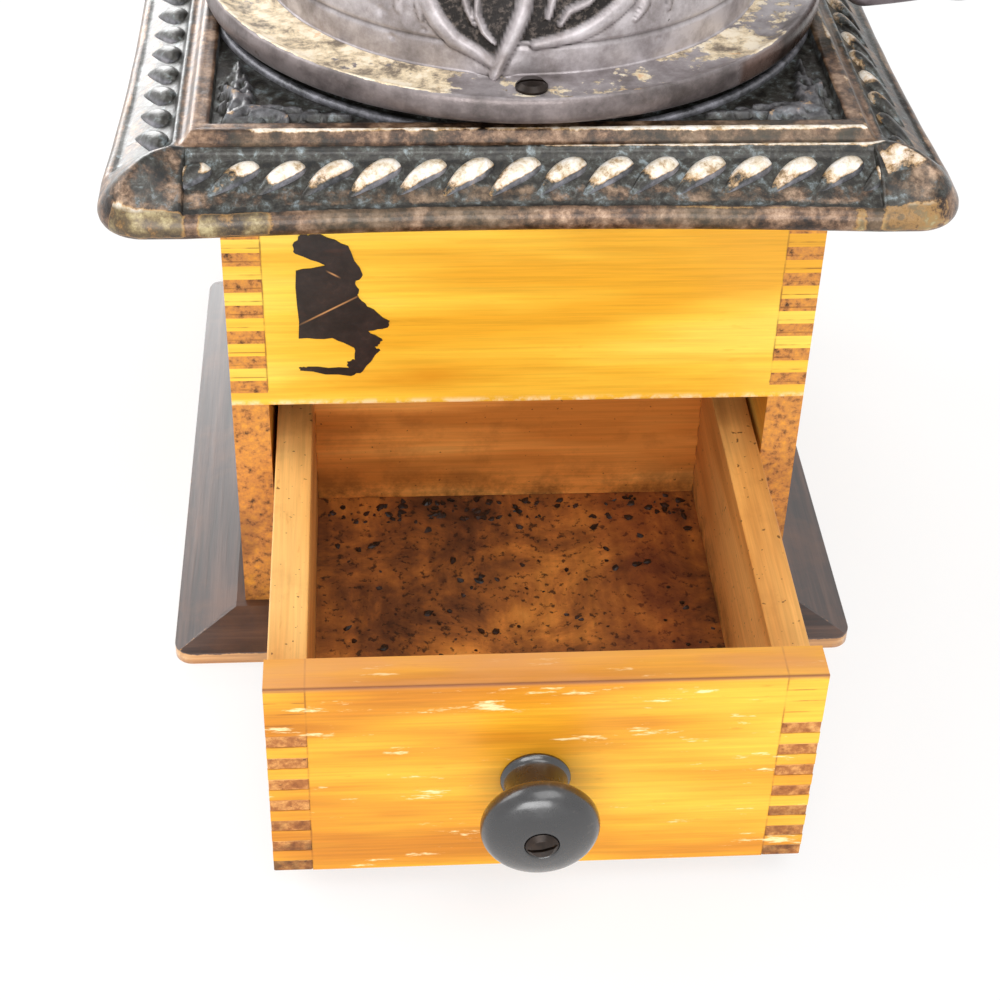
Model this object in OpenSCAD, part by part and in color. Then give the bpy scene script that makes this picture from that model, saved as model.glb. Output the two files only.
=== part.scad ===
// Hand crank coffee grinder: wooden drawer box, cast top, domed hopper and crank.
// Millimetres, +Z up, origin on the table under the spindle.

/* [Base board] */
// Width of the base board.
base_w = 188; // [160:1:240]
// Depth of the base board, front to back.
base_d = 184; // [160:1:240]
// Thickness of the base board under the box.
base_t = 7.7; // [6:0.1:14]
// Height of the base board's upright edge, below the bevel.
base_edge = 3.8; // [2:0.1:5]
// Flat margin around the box before the bevel starts.
base_ledge = 2.5; // [1:0.5:6]
// Radius of the base board's upright corners.
base_corner_r = 5; // [1:0.5:12]

/* [Box] */
// Outside width of the box.
box_w = 150; // [140:1:180]
// Outside depth of the box.
box_d = 150; // [140:1:180]
// Height of the box walls above the base board.
box_h = 142.3; // [135:0.5:170]
// Thickness of the box boards.
wall_t = 9.5; // [8:0.5:11]
// Height of the drawer bay.
bay_h = 68.3; // [60:0.5:72]
// Target width of one joint finger of the box.
finger_w = 3.9; // [3:0.1:12]

/* [Label] */
// Width of the torn paper left on the front panel.
label_w = 23; // [10:1:40]
// Height of the torn paper.
label_h = 43; // [10:1:50]
// Thickness of the torn paper.
label_t = 0.3; // [0.2:0.1:0.6]

/* [Drawer] */
// How far the drawer stands open as drawn.
drawer_out = 97; // [60:1:110]
// Gap between the drawer and the bay on each side.
drawer_gap = 1.2; // [0.6:0.1:2]
// Gap under the drawer.
slide_gap = 0.3; // [0.2:0.1:0.6]
// Gap behind the closed drawer.
rear_gap = 0.6; // [0.4:0.1:3]
// Height of the drawer front.
front_h = 61.5; // [50:0.5:64]
// Thickness of the drawer front.
front_t = 9.7; // [8:0.1:12]
// How far the drawer sides stop below the top of the front.
side_drop = 9; // [4:0.5:14]
// Thickness of the drawer sides and back.
drawer_t = 9.4; // [7:0.1:11]
// Thickness of the drawer bottom.
floor_t = 5; // [3:0.5:7]
// Height of the drawer bottom's upper face inside the drawer.
floor_up = 8; // [7:0.5:12]
// Depth of the grooves that hold the drawer bottom.
groove = 3; // [1.5:0.5:4]
// Number of side fingers at each drawer corner.
drawer_fingers = 7; // [4:1:9]

/* [Drawer knob] */
// Radius of the knob's disc.
knob_r = 13.8; // [9:0.1:18]
// Radius of the knob's neck.
knob_neck_r = 7.2; // [4:0.1:9]
// Length of the knob's neck.
knob_neck = 11.5; // [6:0.5:16]
// Thickness of the knob's disc, with its domed face.
knob_t = 9.5; // [6:0.5:14]
// Height of the knob's axis above the drawer's underside.
knob_z = 30.5; // [22:0.5:40]
// Sideways place of the knob.
knob_x = -2; // [-6:0.5:6]

/* [Cast top] */
// How far the cast top overhangs the box.
lip_out = 26.5; // [14:0.5:28]
// Radius of the lip's corners in plan.
lip_corner_r = 12; // [8:0.5:16]
// Height of the raised corners over the sloped sides' upper edge.
corner_up = 2.4; // [1:0.1:2.6]
// Height of the lip's lower edge below the top of the box.
lip_drop = 7.5; // [5:0.5:12]
// Height of the sunk field above the top of the box.
field_up = 7; // [6:0.1:10]
// Height of the ridge crest above the sunk field.
ridge_up = 2.4; // [1.5:0.1:3]
// Thickness of the cast walls.
cast_t = 3.8; // [3:0.1:5]
// Radius of the opening in the middle.
throat_r = 30; // [27:0.5:34]
// How far the ring bead's middle stands inside the flange's edge.
ring_in = 3.1; // [2.5:0.1:4]
// Radius of the bead's section.
ring_bead = 1.2; // [0.8:0.1:1.6]
// Number of slanted rope bars along each side.
ropes = 14; // [6:1:18]
// Radius of one rope bar.
rope_r = 2.2; // [1.2:0.1:2.6]
// Slant of the rope bars.
rope_slant = 57; // [20:1:65]

/* [Hopper] */
// How far the hopper's flange reaches past its screws.
flange_out = 9; // [7:0.1:9.5]
// Thickness of the flange at its crest.
flange_t = 7; // [5:0.1:9]
// How far the dome's foot stands inside the screws.
dome_in = 7; // [5:0.1:9]
// Radius of the flat deck on top of the dome.
deck_r = 42; // [38:0.5:46]
// Height of the deck above the flange.
dome_h = 47.8; // [40:0.2:60]
// Thickness of the hopper's wall.
dome_t = 3; // [2.5:0.1:4]
// Width of the filling hole as an angle.
fill_angle = 100; // [60:1:104]
// Outer radius of the filling hole.
fill_r = 36; // [28:0.5:37]
// How far the hopper's screws stand in from the outside of the box.
screw_in = 2.5; // [2.4:0.1:5]

/* [Spindle and burrs] */
// Radius of the spindle.
spindle_r = 5; // [4:0.1:6]
// Running clearance of turning parts, on the radius.
run_gap = 0.06; // [0.03:0.01:0.1]
// Clearance between faces that pass each other.
face_gap = 0.3; // [0.2:0.1:0.5]
// Radius of the outer burr's narrow waist.
waist_r = 17; // [16:0.1:19]
// Width of the grinding gap, on the radius.
grind_gap = 1.8; // [1.6:0.1:2.4]
// Number of grooves around the inner burr.
inner_grooves = 10; // [6:1:14]
// Number of grooves around the outer burr.
outer_grooves = 14; // [8:1:18]
// Gap between the bridge's legs and the outer burr.
bridge_gap = 0.5; // [0.4:0.1:2]
// Radius of the adjusting wheel.
wheel_r = 13; // [10:0.5:16]
// Thickness of the adjusting wheel.
wheel_t = 8; // [5:0.5:10]
// Width of the bridge that carries the spindle.
bridge_w = 16; // [14:1:20]
// Thickness of the bridge.
bridge_t = 5; // [4:0.5:7]
// Height of the outer burr under its waist.
burr_low = 15; // [13:0.5:17]
// Height of the burrs above the waist.
burr_high = 17; // [14:0.5:18]

/* [Crank] */
// Distance of the handle from the spindle, sideways.
crank_x = 116; // [108:1:140]
// Distance of the handle in front of the spindle.
crank_y = 10; // [0:0.5:20]
// How far the arm bows to the front.
arm_bow = 24; // [14:1:30]
// Width of the crank arm.
arm_w = 13; // [9:0.5:16]
// Thickness of the crank arm.
arm_t = 5; // [4:0.1:6]
// Radius of the eye that carries the handle.
eye_r = 9.5; // [8:0.1:12]
// Largest radius of the handle.
grip_r = 11.5; // [9:0.1:14]
// Length of the handle.
grip_h = 45; // [35:1:60]
// Radius of the rivet that carries the handle.
rivet_r = 2.5; // [2:0.1:3]

/* [Hidden] */
$fn = 64;
e = 0.01;
box_top = base_t + box_h;
panel_z = base_t + bay_h;
hw = box_w / 2;
hd = box_d / 2;
screw_x = hw - screw_in;
screw_y = hd - screw_in;
dome_r = min(screw_x, screw_y) - dome_in;
flange_r = max(screw_x, screw_y) + flange_out;
ring_r = flange_r - ring_in;
pad_r = flange_r - flange_out + 2.3;
rail_h = box_top - panel_z;
rail_n = 2 * floor(rail_h / finger_w / 2 + 0.25) + 1;
back_n = 2 * floor(box_h / finger_w / 2 + 0.25) + 1;
draw_w = box_w - 2 * wall_t - 2 * drawer_gap;
dh = draw_w / 2;
draw_z = base_t + slide_gap;
draw_y = -hd - drawer_out;
draw_l = box_d - wall_t - rear_gap;
side_h = front_h - side_drop;
dfing_n = 2 * drawer_fingers - 1;
dfing_h = side_h - 6.1;
dfing_w = dfing_h / dfing_n;
floor_z = draw_z + floor_up;
lip = hw + lip_out;
lip_d = hd + lip_out;
field_z = box_top + field_up;
crest_z = field_z + ridge_up;
under_z = field_z - cast_t;
seat_z = crest_z + 1.6;
crown_z = seat_z + flange_t;
foot_z = crown_z - 1.8;
deck_z = foot_z + dome_h;
arm_z = deck_z + 8;
eye_z = crest_z + 3;
waist_z = box_top - 19;
burr_z = waist_z - burr_low;
slope = 0.714;
bar_z = burr_z - 20;
bridge_x = waist_r + 15 + bridge_gap + 4;
bolt_x = bridge_x + 4.5;
screw_r = 1.7;

// A prism along Y from a section in X and Z, the same section to both sides.
module mitre(section_x, section_y) {
  intersection() {
    rotate([90, 0, 0])
      linear_extrude(height = 500, center = true)
        polygon(section_x);
    rotate([90, 0, 90])
      linear_extrude(height = 500, center = true)
        polygon(section_y);
  }
}

// Mirrors a half section, listed from bottom to top, to both sides.
function both(half, grow) = concat(
  [for (p = half) [p[0] + grow, p[1]]],
  [for (i = [len(half) - 1:-1:0]) [-half[i][0] - grow, half[i][1]]]
);

// Square stack whose half width follows the half section.
module stack(half) {
  mitre(both(half, 0), both(half, hd - hw));
}

// Alternate fingers up an edge: n bands from z0, keeping the odd or the even ones.
module bands(x0, y0, dx, dy, z0, width, n, odd) {
  for (k = [0:n - 1])
    if (k % 2 == odd)
      translate([x0, y0, z0 + k * width])
        cube([dx, dy, width]);
}

// Rounded bar standing on z0.
module rod(r, z0, z1) {
  translate([0, 0, z0])
    cylinder(r = r, h = z1 - z0);
}

// Block with round upright corners.
module rounded(half_w, half_d, r, z0, z1) {
  translate([-half_w + r, -half_d, z0])
    cube([2 * half_w - 2 * r, 2 * half_d, z1 - z0]);
  translate([-half_w, -half_d + r, z0])
    cube([2 * half_w, 2 * half_d - 2 * r, z1 - z0]);
  for (x = [-1, 1])
    for (y = [-1, 1])
      translate([x * (half_w - r), y * (half_d - r), 0])
        rod(r, z0, z1);
}

module base_board() {
  edge_half = [
    [base_w / 2, 0],
    [base_w / 2, base_edge],
    [hw + base_ledge, base_t]
  ];
  color("#3a2a22")
    difference() {
      intersection() {
        mitre(both(edge_half, 0), both([
          [base_d / 2, 0],
          [base_d / 2, base_edge],
          [hd + base_ledge, base_t]
        ], 0));
        rounded(base_w / 2, base_d / 2, base_corner_r, -20, 20);
      }
      screws_at() rod(2, -1, base_t + 1);
      screws_at() translate([0, 0, -e]) cylinder(r1 = 4.2, r2 = 2, h = 2.6);
    }
}

module screws_at() {
  for (x = [-1, 1])
    for (y = [-1, 1])
      translate([x * (hw - wall_t / 2), y * hd * 0.73, 0])
        children();
}

module base_screws() {
  color("#7d7f80")
    screws_at() {
      difference() {
        translate([0, 0, 0.3]) cylinder(r1 = 3.9, r2 = 2, h = 2.3 - e);
        translate([-6, -0.5, -1]) cube([12, 1, 2]);
      }
      rod(2, 2.3, base_t + 20);
    }
}

module side_board(s) {
  difference() {
    translate([s > 0 ? hw - wall_t : -hw, -hd, base_t])
      cube([wall_t, box_d, box_h]);
    bands(s > 0 ? hw - wall_t - 1 : -hw - 1, -hd - 1, wall_t + 2, wall_t + 1,
          panel_z, rail_h / rail_n, rail_n, 0);
    bands(s > 0 ? hw - wall_t - 1 : -hw - 1, hd - wall_t, wall_t + 2, wall_t + 1,
          base_t, box_h / back_n, back_n, 0);
    screws_at() rod(2, base_t - 1, base_t + 20);
    translate([s * screw_x, 0, 0]) rod(screw_r, box_top - 22, box_top + 1);
  }
}

module side_left() {
  color("#c98a3f") side_board(-1);
}

module side_right() {
  color("#c98a3f") side_board(1);
}

module front_rail() {
  color("#d0903f")
    difference() {
      union() {
        translate([-hw + wall_t, -hd, panel_z])
          cube([box_w - 2 * wall_t, wall_t, rail_h]);
        for (s = [0, 1])
          bands(s * (box_w - wall_t) - hw, -hd, wall_t, wall_t,
                panel_z, rail_h / rail_n, rail_n, 0);
      }
      translate([0, -screw_y, 0]) rod(screw_r, box_top - 22, box_top + 1);
    }
}

module back_panel() {
  color("#c98a3f")
    difference() {
      union() {
        translate([-hw + wall_t, hd - wall_t, base_t])
          cube([box_w - 2 * wall_t, wall_t, box_h]);
        for (s = [0, 1])
          bands(s * (box_w - wall_t) - hw, hd - wall_t, wall_t, wall_t,
                base_t, box_h / back_n, back_n, 0);
      }
      translate([0, screw_y, 0]) rod(screw_r, box_top - 22, box_top + 1);
    }
}

module label_remnant() {
  steps = 12;
  low_z = panel_z + 8.5;
  color("#1d1a1a")
    translate([-hw + 18, -hd, low_z])
      rotate([90, 0, 0])
        linear_extrude(height = label_t)
          polygon(concat(
            [for (i = [0:steps]) [label_w * i / steps, torn(i, 40)]],
            [for (i = [1:steps]) [label_w - torn(i, 110), label_h * i / steps]],
            [for (i = [1:steps - 1]) [label_w * (1 - i / steps), label_h - torn(i, 75)]],
            [for (i = [0:steps - 1]) [torn(i, 65), label_h * (1 - i / steps)]]
          ));
}

// Depth of a tear at step i.
function torn(i, seed) = 1.1 + 0.8 * sin(i * seed) + 0.5 * sin(i * seed * 2.3 + 50);

// Slope of the rope panel between the bead and the step under the ridge.
pan_lo = [lip - 2.5, box_top - lip_drop + 5.9];
pan_hi = [hw + 9.8, box_top + field_up - 1.9];
pan_len = norm(pan_hi - pan_lo);
pan_tilt = atan2(pan_hi[1] - pan_lo[1], pan_lo[0] - pan_hi[0]);

// Puts children on the middle of a rope panel: X along the side, Y up the slope, Z outward.
module on_panel(i) {
  grow = i % 2 == 0 ? hd - hw : 0;
  rotate([0, 0, 90 * i])
    translate([0, -(pan_lo[0] + pan_hi[0]) / 2 - grow, (pan_lo[1] + pan_hi[1]) / 2])
      rotate([pan_tilt, 0, 0])
        children();
}

// The lip's rounded bead, from its lower edge up.
function lip_edge(z0) = [
  [lip - 2, z0],
  [lip - 0.4, z0 + 0.9],
  [lip, z0 + 3.3]
];

module cast_sides(z0) {
  stack(concat(lip_edge(z0), [
    [lip - 0.8, z0 + 5.2],
    pan_lo,
    pan_hi,
    [hw + 9.4, field_z - 0.8],
    [hw + 7.6, field_z],
    [hw + 4.2, crest_z - 0.5],
    [hw + 2.8, crest_z]
  ]));
}

// The four raised corners, beyond the ends of the rope panels.
module cast_corners(z0) {
  edge = 7.6;
  intersection() {
    stack(concat(lip_edge(z0), [
      [lip - 0.4, z0 + 7.5],
      [lip - 4, field_z + corner_up - 5],
      [lip - 9, field_z + corner_up - 1.6],
      [hw + edge + 4, field_z + corner_up - 0.2],
      [hw + edge, field_z + corner_up - 1]
    ]));
    for (x = [-1, 1])
      for (y = [-1, 1])
        translate([x * (hw + edge + 20), y * (hd + edge + 20), z0])
          cube([40, 40, 60], center = true);
  }
}

module cast_outside(z0) {
  rope_run = 2 * (hw + 5.8);
  pitch = rope_run / (ropes + 0.8);
  intersection() {
    union() {
      difference() {
        cast_sides(z0);
        for (i = [0:3])
          on_panel(i)
            translate([-rope_run / 2, -pan_len / 2 + 0.9, -0.7])
              cube([rope_run, pan_len - 1.8, 4]);
      }
      cast_corners(z0);
      for (i = [0:3])
        on_panel(i)
          for (k = [0:ropes - 1])
            translate([(k - (ropes - 1) / 2) * pitch, 0, -1.5])
              rotate([0, 0, -rope_slant])
                rotate([90, 0, 0])
                  cylinder(r = rope_r, h = 14.5, center = true, $fn = 24);
    }
    rounded(lip, lip_d, lip_corner_r, z0 - 1, z0 + 40);
  }
}

module cast_hollow(z0) {
  intersection() {
    stack([
      [lip - cast_t, z0 - 1],
      [lip - cast_t, z0 + 2.6],
      [pan_lo[0] - cast_t, pan_lo[1] - 0.9],
      [hw + 7, under_z]
    ]);
    rounded(lip - cast_t, lip_d - cast_t, lip_corner_r - cast_t, z0 - 2, z0 + 40);
  }
}

module top_plate() {
  z0 = box_top - lip_drop;
  color("#3b3a34")
    difference() {
      union() {
        difference() {
          cast_outside(z0);
          translate([-hw - 0.6, -hd - 0.6, field_z])
            cube([box_w + 1.2, box_d + 1.2, 20]);
        }
        translate([0, 0, field_z + 0.6])
          rotate_extrude()
            translate([ring_r, 0])
              circle(r = ring_bead, $fn = 32);
        rod(pad_r, field_z - 1, seat_z);
      }
      difference() {
        cast_hollow(z0);
        translate([-hw - 4.5, -hd - 4.5, box_top])
          cube([box_w + 9, box_d + 9, 20]);
      }
      translate([-hw + 12, -hd + 12, box_top - 1])
        cube([box_w - 24, box_d - 24, 1 + under_z - box_top]);
      rod(throat_r, box_top - 2, seat_z + 1);
      hopper_holes()
        rod(screw_r, box_top - 1, seat_z + 1);
      for (a = [0:90:270])
        rotate([0, 0, a])
          translate([bolt_x, 0, 0])
            rod(2, box_top, seat_z - 1);
      translate([hw + 15, -hd - 16.5, field_z])
        rotate([61, 0, -18])
          rod(1.4, -26, 10);
    }
}

module hopper_dome() {
  n = 12;
  outer = [for (i = [0:n]) [
    deck_r + (dome_r - deck_r) * cos(90 * i / n),
    foot_z + dome_h * sin(90 * i / n)
  ]];
  inner = [for (i = [n:-1:0]) [
    deck_r - 1 + (dome_r - deck_r - dome_t + 1) * cos(90 * i / n),
    foot_z + (dome_h - dome_t) * sin(90 * i / n)
  ]];
  color("#6f6d6a")
    difference() {
      rotate_extrude($fn = 128)
        polygon(concat(
          [
            [dome_r - dome_t, seat_z],
            [flange_r - 0.8, seat_z],
            [flange_r, seat_z + 0.9],
            [flange_r, crown_z - 2.2],
            [flange_r - 0.4, crown_z - 0.7],
            [flange_r - 1.2, crown_z],
            [flange_r - 4.2, foot_z]
          ],
          outer,
          [[0, deck_z], [0, deck_z - dome_t]],
          inner
        ));
      rod(8, deck_z - 10, deck_z + 1);
      intersection() {
        difference() {
          rod(fill_r, deck_z - 10, deck_z + 1);
          rod(14, deck_z - 11, deck_z + 2);
        }
        sector(fill_angle, 80, deck_z - 10, deck_z + 1);
      }
      hopper_holes()
        rod(2.3, seat_z - 1, crown_z + 1);
    }
}

// Wedge of a disc pointing to the back.
module sector(angle, r, z0, z1) {
  translate([0, 0, z0])
    linear_extrude(height = z1 - z0)
      polygon(concat([[0, 0]], [for (i = [0:8])
        r * [sin((i / 8 - 0.5) * angle), cos((i / 8 - 0.5) * angle)]
      ]));
}

// Puts children over the middle of each of the four box boards, front first.
module hopper_holes() {
  for (i = [0:3])
    rotate([0, 0, 90 * i])
      translate([0, i % 2 == 0 ? -screw_y : -screw_x, 0])
        rotate([0, 0, -90])
          children();
}

module hopper_screws() {
  color("#4b3b30")
    hopper_holes() {
      rod(screw_r, box_top - 22, foot_z + e);
      difference() {
        translate([0, 0, foot_z])
          rotate_extrude()
            polygon([[0, 0], [3.9, 0], [3.9, 0.8], [2.8, 1.9], [0, 2.3]]);
        rotate([0, 0, 92])
          translate([-6, -0.45, foot_z + 1.1])
            cube([12, 0.9, 3]);
      }
    }
}

module upper_bush() {
  color("#a8843c")
    difference() {
      union() {
        rod(8, deck_z - 6, deck_z + e);
        rod(10, deck_z, deck_z + 4.5);
      }
      rod(spindle_r + run_gap, deck_z - 7, deck_z + 6);
    }
}

module lid_ring() {
  color("#7a7470")
    difference() {
      rod(12, deck_z + 2.8 + face_gap, deck_z + 4.5);
      rod(10, deck_z, deck_z + 6);
    }
}

module hopper_lid() {
  color("#6a6866")
    difference() {
      union() {
        rod(14.5, deck_z + face_gap, deck_z + 2.8);
        intersection() {
          rod(fill_r + 3, deck_z + face_gap, deck_z + 2.8);
          sector(fill_angle + 24, 60, deck_z, deck_z + 5);
        }
      }
      rod(10 + run_gap, deck_z - 1, deck_z + 6);
      translate([0, 28, 0]) rod(1.5, deck_z - 1, deck_z + 6);
    }
}

module lid_button() {
  color("#8a8378")
    translate([0, 28, 0]) {
      rod(1.5, deck_z + face_gap, deck_z + 3);
      translate([0, 0, deck_z + 2.8])
        rotate_extrude()
          polygon([[0, 0], [2, 0], [2, 1.2], [3.6, 2], [3.2, 3.2], [0, 3.6]]);
    }
}

module outer_burr() {
  color("#57544f")
    difference() {
      union() {
        rod(bolt_x + 5, under_z - 4, under_z);
        rod(waist_r + 15, burr_z, under_z - 3);
      }
      rotate_extrude()
        polygon([
          [0, burr_z - 1],
          [waist_r + 16 * slope, burr_z - 1],
          [waist_r, waist_z],
          [waist_r + 10, under_z],
          [waist_r + 10, under_z + 1],
          [0, under_z + 1]
        ]);
      for (k = [0:outer_grooves - 1])
        rotate([0, 0, (k + 0.5) * 360 / outer_grooves])
          translate([waist_r + 4.6, 0, waist_z - 8])
            rotate([14, -atan(slope), 0])
              cube([2.4, 2, 26], center = true);
      for (a = [0:90:270])
        rotate([0, 0, a])
          translate([bolt_x, 0, 0])
            rod(2, under_z - 5, under_z + 1);
    }
}

module burr_bolts() {
  color("#6d6f70")
    for (a = [0:90:270])
      rotate([0, 0, a])
        translate([bolt_x, 0, 0]) {
          head = a % 180 == 0 ? under_z - 8 : under_z - 4;
          rod(2, head - e, seat_z - 1);
          translate([0, 0, head - 3])
            cylinder(r = 4, h = 3, $fn = 6);
        }
}

module bridge() {
  leg = bridge_x - 4;
  color("#4d4a47")
    difference() {
      union() {
        translate([-bridge_x, -bridge_w / 2, bar_z])
          cube([2 * bridge_x, bridge_w, bridge_t]);
        for (s = [-1, 1]) {
          translate([s > 0 ? leg : -bridge_x, 1 - bridge_w / 2, bar_z])
            cube([4, bridge_w - 2, under_z - 4 - bar_z]);
          translate([s > 0 ? leg : -bolt_x - 6, 1 - bridge_w / 2, under_z - 8])
            cube([bolt_x + 6 - leg, bridge_w - 2, 4]);
        }
      }
      rod(6 + run_gap, bar_z - 1, bar_z + bridge_t + 1);
      for (s = [-1, 1])
        translate([s * bolt_x, 0, 0])
          rod(2, under_z - 9, under_z);
    }
}

module adjuster_wheel() {
  top = bar_z - face_gap;
  color("#8c7a4a")
    difference() {
      union() {
        rod(wheel_r, top - wheel_t, top);
        rod(6, top - e, bar_z + bridge_t + face_gap + 2);
      }
      rod(4 + run_gap, top - wheel_t - 1, bar_z + bridge_t + 4);
      for (k = [0:19])
        rotate([0, 0, k * 18])
          translate([wheel_r + 0.5, 0, 0])
            rod(1.3, top - wheel_t - 1, top + 0.5);
    }
}

module adjuster_ring() {
  color("#6a6c6e")
    difference() {
      rod(9, bar_z + bridge_t + face_gap, bar_z + bridge_t + face_gap + 2);
      rod(6, bar_z, bar_z + bridge_t + 4);
    }
}

module thrust_screw() {
  cup = burr_z - 6;
  color("#74767a")
    difference() {
      union() {
        rod(4, bar_z - wheel_t - 4, cup - 5);
        rod(8, cup - 5.5, cup);
      }
      rod(3 + run_gap, cup - 4, cup + 1);
    }
}

module spindle() {
  cup = burr_z - 6;
  color("#808287") {
    rod(3, cup - 4 + face_gap, cup + 1);
    rod(spindle_r, cup + face_gap, arm_z);
    translate([-3.5, -3.5, arm_z - 1])
      cube([7, 7, arm_t + 0.9]);
    rod(3, arm_z, arm_z + arm_t + 8.5);
  }
}

module inner_burr() {
  top = waist_z + burr_high;
  color("#605c57")
    difference() {
      rotate_extrude()
        polygon([
          [spindle_r, burr_z + 0.5],
          [waist_r - grind_gap + 14.5 * slope, burr_z + 0.5],
          [waist_r - grind_gap, waist_z],
          [spindle_r + 2.5, top],
          [spindle_r, top]
        ]);
      for (k = [0:inner_grooves - 1])
        rotate([0, 0, k * 360 / inner_grooves])
          translate([waist_r - grind_gap + 6.2, 0, waist_z - 8])
            rotate([-16, -atan(slope), 0])
              cube([2.6, 2.2, 30], center = true);
    }
}

// Point on a cubic curve through four handles.
function curve(p, t) = pow(1 - t, 3) * p[0] + 3 * pow(1 - t, 2) * t * p[1]
  + 3 * (1 - t) * t * t * p[2] + t * t * t * p[3];
// Direction of the same curve, as a unit vector.
function along(p, t) = let(d = curve(p, t + 0.001) - curve(p, t - 0.001)) d / norm(d);
// Left-hand normal of the curve.
function side(p, t) = let(d = along(p, t)) [-d[1], d[0]];

plan = [[0, 0], [40, -arm_bow * 0.95], [78, -arm_bow * 1.05], [crank_x, -crank_y]];
drop = [
  [deck_r + 4, arm_z],
  [dome_r + 0.5, arm_z],
  [flange_r - 5.3, eye_z],
  [flange_r + 7.7, eye_z]
];

module crank_arm() {
  n = 14;
  color("#5c5650")
    difference() {
      intersection() {
        union() {
          rod(9.5, 140, 260);
          translate([0, 0, 140])
            linear_extrude(height = 120)
              polygon(concat(
                [for (i = [0:n]) curve(plan, i / n) + arm_w / 2 * side(plan, i / n)],
                [for (i = [n:-1:0]) curve(plan, i / n) - arm_w / 2 * side(plan, i / n)]
              ));
          translate([crank_x, -crank_y, 0]) rod(eye_r, 140, 260);
        }
        rotate([90, 0, 0])
          linear_extrude(height = 200, center = true)
            polygon(concat(
              [[-20, arm_z]],
              [for (i = [0:n]) curve(drop, i / n)],
              [[crank_x + 20, eye_z], [crank_x + 20, eye_z + arm_t]],
              [for (i = [n:-1:0]) curve(drop, i / n) + arm_t * side(drop, i / n)],
              [[-20, arm_z + arm_t]]
            ));
      }
      translate([-3.5, -3.5, arm_z - 1])
        cube([7, 7, arm_t + 2]);
      translate([crank_x, -crank_y, 0])
        rod(rivet_r, eye_z - 1, eye_z + arm_t + 1);
    }
}

module crank_washer() {
  color("#8b8d90")
    difference() {
      rod(8, arm_z + arm_t, arm_z + arm_t + 1);
      rod(3, arm_z, arm_z + 20);
    }
}

module crank_nut() {
  color("#77726a")
    difference() {
      translate([0, 0, arm_z + arm_t + 1])
        intersection() {
          cylinder(r = 7, h = 5.5, $fn = 6);
          cylinder(r1 = 8.6, r2 = 6.2, h = 5.5);
        }
      rod(3, arm_z, arm_z + 20);
    }
}

module grip_rivet() {
  top = eye_z + arm_t + 0.5 + grip_h;
  color("#8b8d90")
    translate([crank_x, -crank_y, 0]) {
      rod(rivet_r, eye_z, top + face_gap + e);
      translate([0, 0, top + face_gap])
        rotate_extrude()
          polygon([[0, 0], [4.2, 0], [3.6, 1.2], [0, 1.9]]);
    }
}

module crank_grip() {
  h = grip_h;
  r = grip_r;
  color("#4a2c1c")
    translate([crank_x, -crank_y, eye_z + arm_t + 0.5])
      difference() {
        rotate_extrude()
          polygon([
            [0, 0],
            [r * 0.72, 0],
            [r * 0.78, h * 0.04],
            [r * 0.70, h * 0.09],
            [r * 0.62, h * 0.20],
            [r * 0.66, h * 0.33],
            [r * 0.80, h * 0.48],
            [r * 0.94, h * 0.62],
            [r, h * 0.76],
            [r * 0.95, h * 0.88],
            [r * 0.76, h * 0.96],
            [r * 0.5, h],
            [0, h]
          ]);
        rod(rivet_r + run_gap, -1, h + 1);
      }
}

module drawer_front() {
  color("#d6953f")
    difference() {
      translate([-dh, draw_y, draw_z])
        cube([draw_w, front_t, front_h]);
      for (s = [0, 1])
        bands(s * (draw_w - drawer_t + 1) - dh - 1, draw_y - 1, drawer_t + 1, front_t + 2,
              draw_z, dfing_w, dfing_n, 0);
      drawer_panel();
      knob_place() rod(1.6, -front_t + 1.5, 1);
    }
}

module drawer_side(s) {
  x0 = s > 0 ? dh - drawer_t : -dh;
  difference() {
    union() {
      translate([x0, draw_y + front_t, draw_z])
        cube([drawer_t, draw_l - front_t - drawer_t, side_h]);
      bands(x0, draw_y, drawer_t, front_t + e, draw_z, dfing_w, dfing_n, 0);
      bands(x0, draw_y + draw_l - drawer_t - e, drawer_t, drawer_t + e,
            draw_z, dfing_w, dfing_n, 0);
    }
    drawer_panel();
  }
}

module drawer_side_left() {
  color("#cf9a55") drawer_side(-1);
}

module drawer_side_right() {
  color("#cf9a55") drawer_side(1);
}

module drawer_back() {
  color("#c9934f")
    difference() {
      translate([-dh, draw_y + draw_l - drawer_t, draw_z])
        cube([draw_w, drawer_t, side_h]);
      for (s = [0, 1])
        bands(s * (draw_w - drawer_t + 1) - dh - 1, draw_y + draw_l - drawer_t - 1,
              drawer_t + 1, drawer_t + 2, draw_z, dfing_w, dfing_n, 0);
      drawer_panel();
    }
}

// The drawer bottom as a plain panel, let into the grooves.
module drawer_panel() {
  translate([-dh + drawer_t - groove, draw_y + front_t - groove, floor_z - floor_t])
    cube([
      draw_w - 2 * drawer_t + 2 * groove,
      draw_l - front_t - drawer_t + 2 * groove,
      floor_t
    ]);
}

module drawer_bottom() {
  color("#6b4124") drawer_panel();
}

module knob_place() {
  translate([knob_x, draw_y, draw_z + knob_z])
    rotate([90, 0, 0])
      children();
}

module drawer_knob() {
  t = knob_t;
  n = knob_neck;
  color("#161414")
    knob_place()
      difference() {
        rotate_extrude()
          polygon([
            [0, 0],
            [knob_neck_r + 0.9, 0],
            [knob_neck_r + 0.2, 1.4],
            [knob_neck_r - 0.4, n * 0.55],
            [knob_neck_r + 0.6, n * 0.9],
            [knob_r - 2.4, n + 0.4],
            [knob_r - 0.5, n + t * 0.18],
            [knob_r, n + t * 0.34],
            [knob_r - 0.4, n + t * 0.52],
            [knob_r - 2.2, n + t * 0.74],
            [knob_r - 5.4, n + t * 0.91],
            [4.2, n + t],
            [0, n + t]
          ]);
        rod(1.6, -1, n + t + 1);
        rod(4, n + t - 1, n + t + 1);
      }
}

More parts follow.
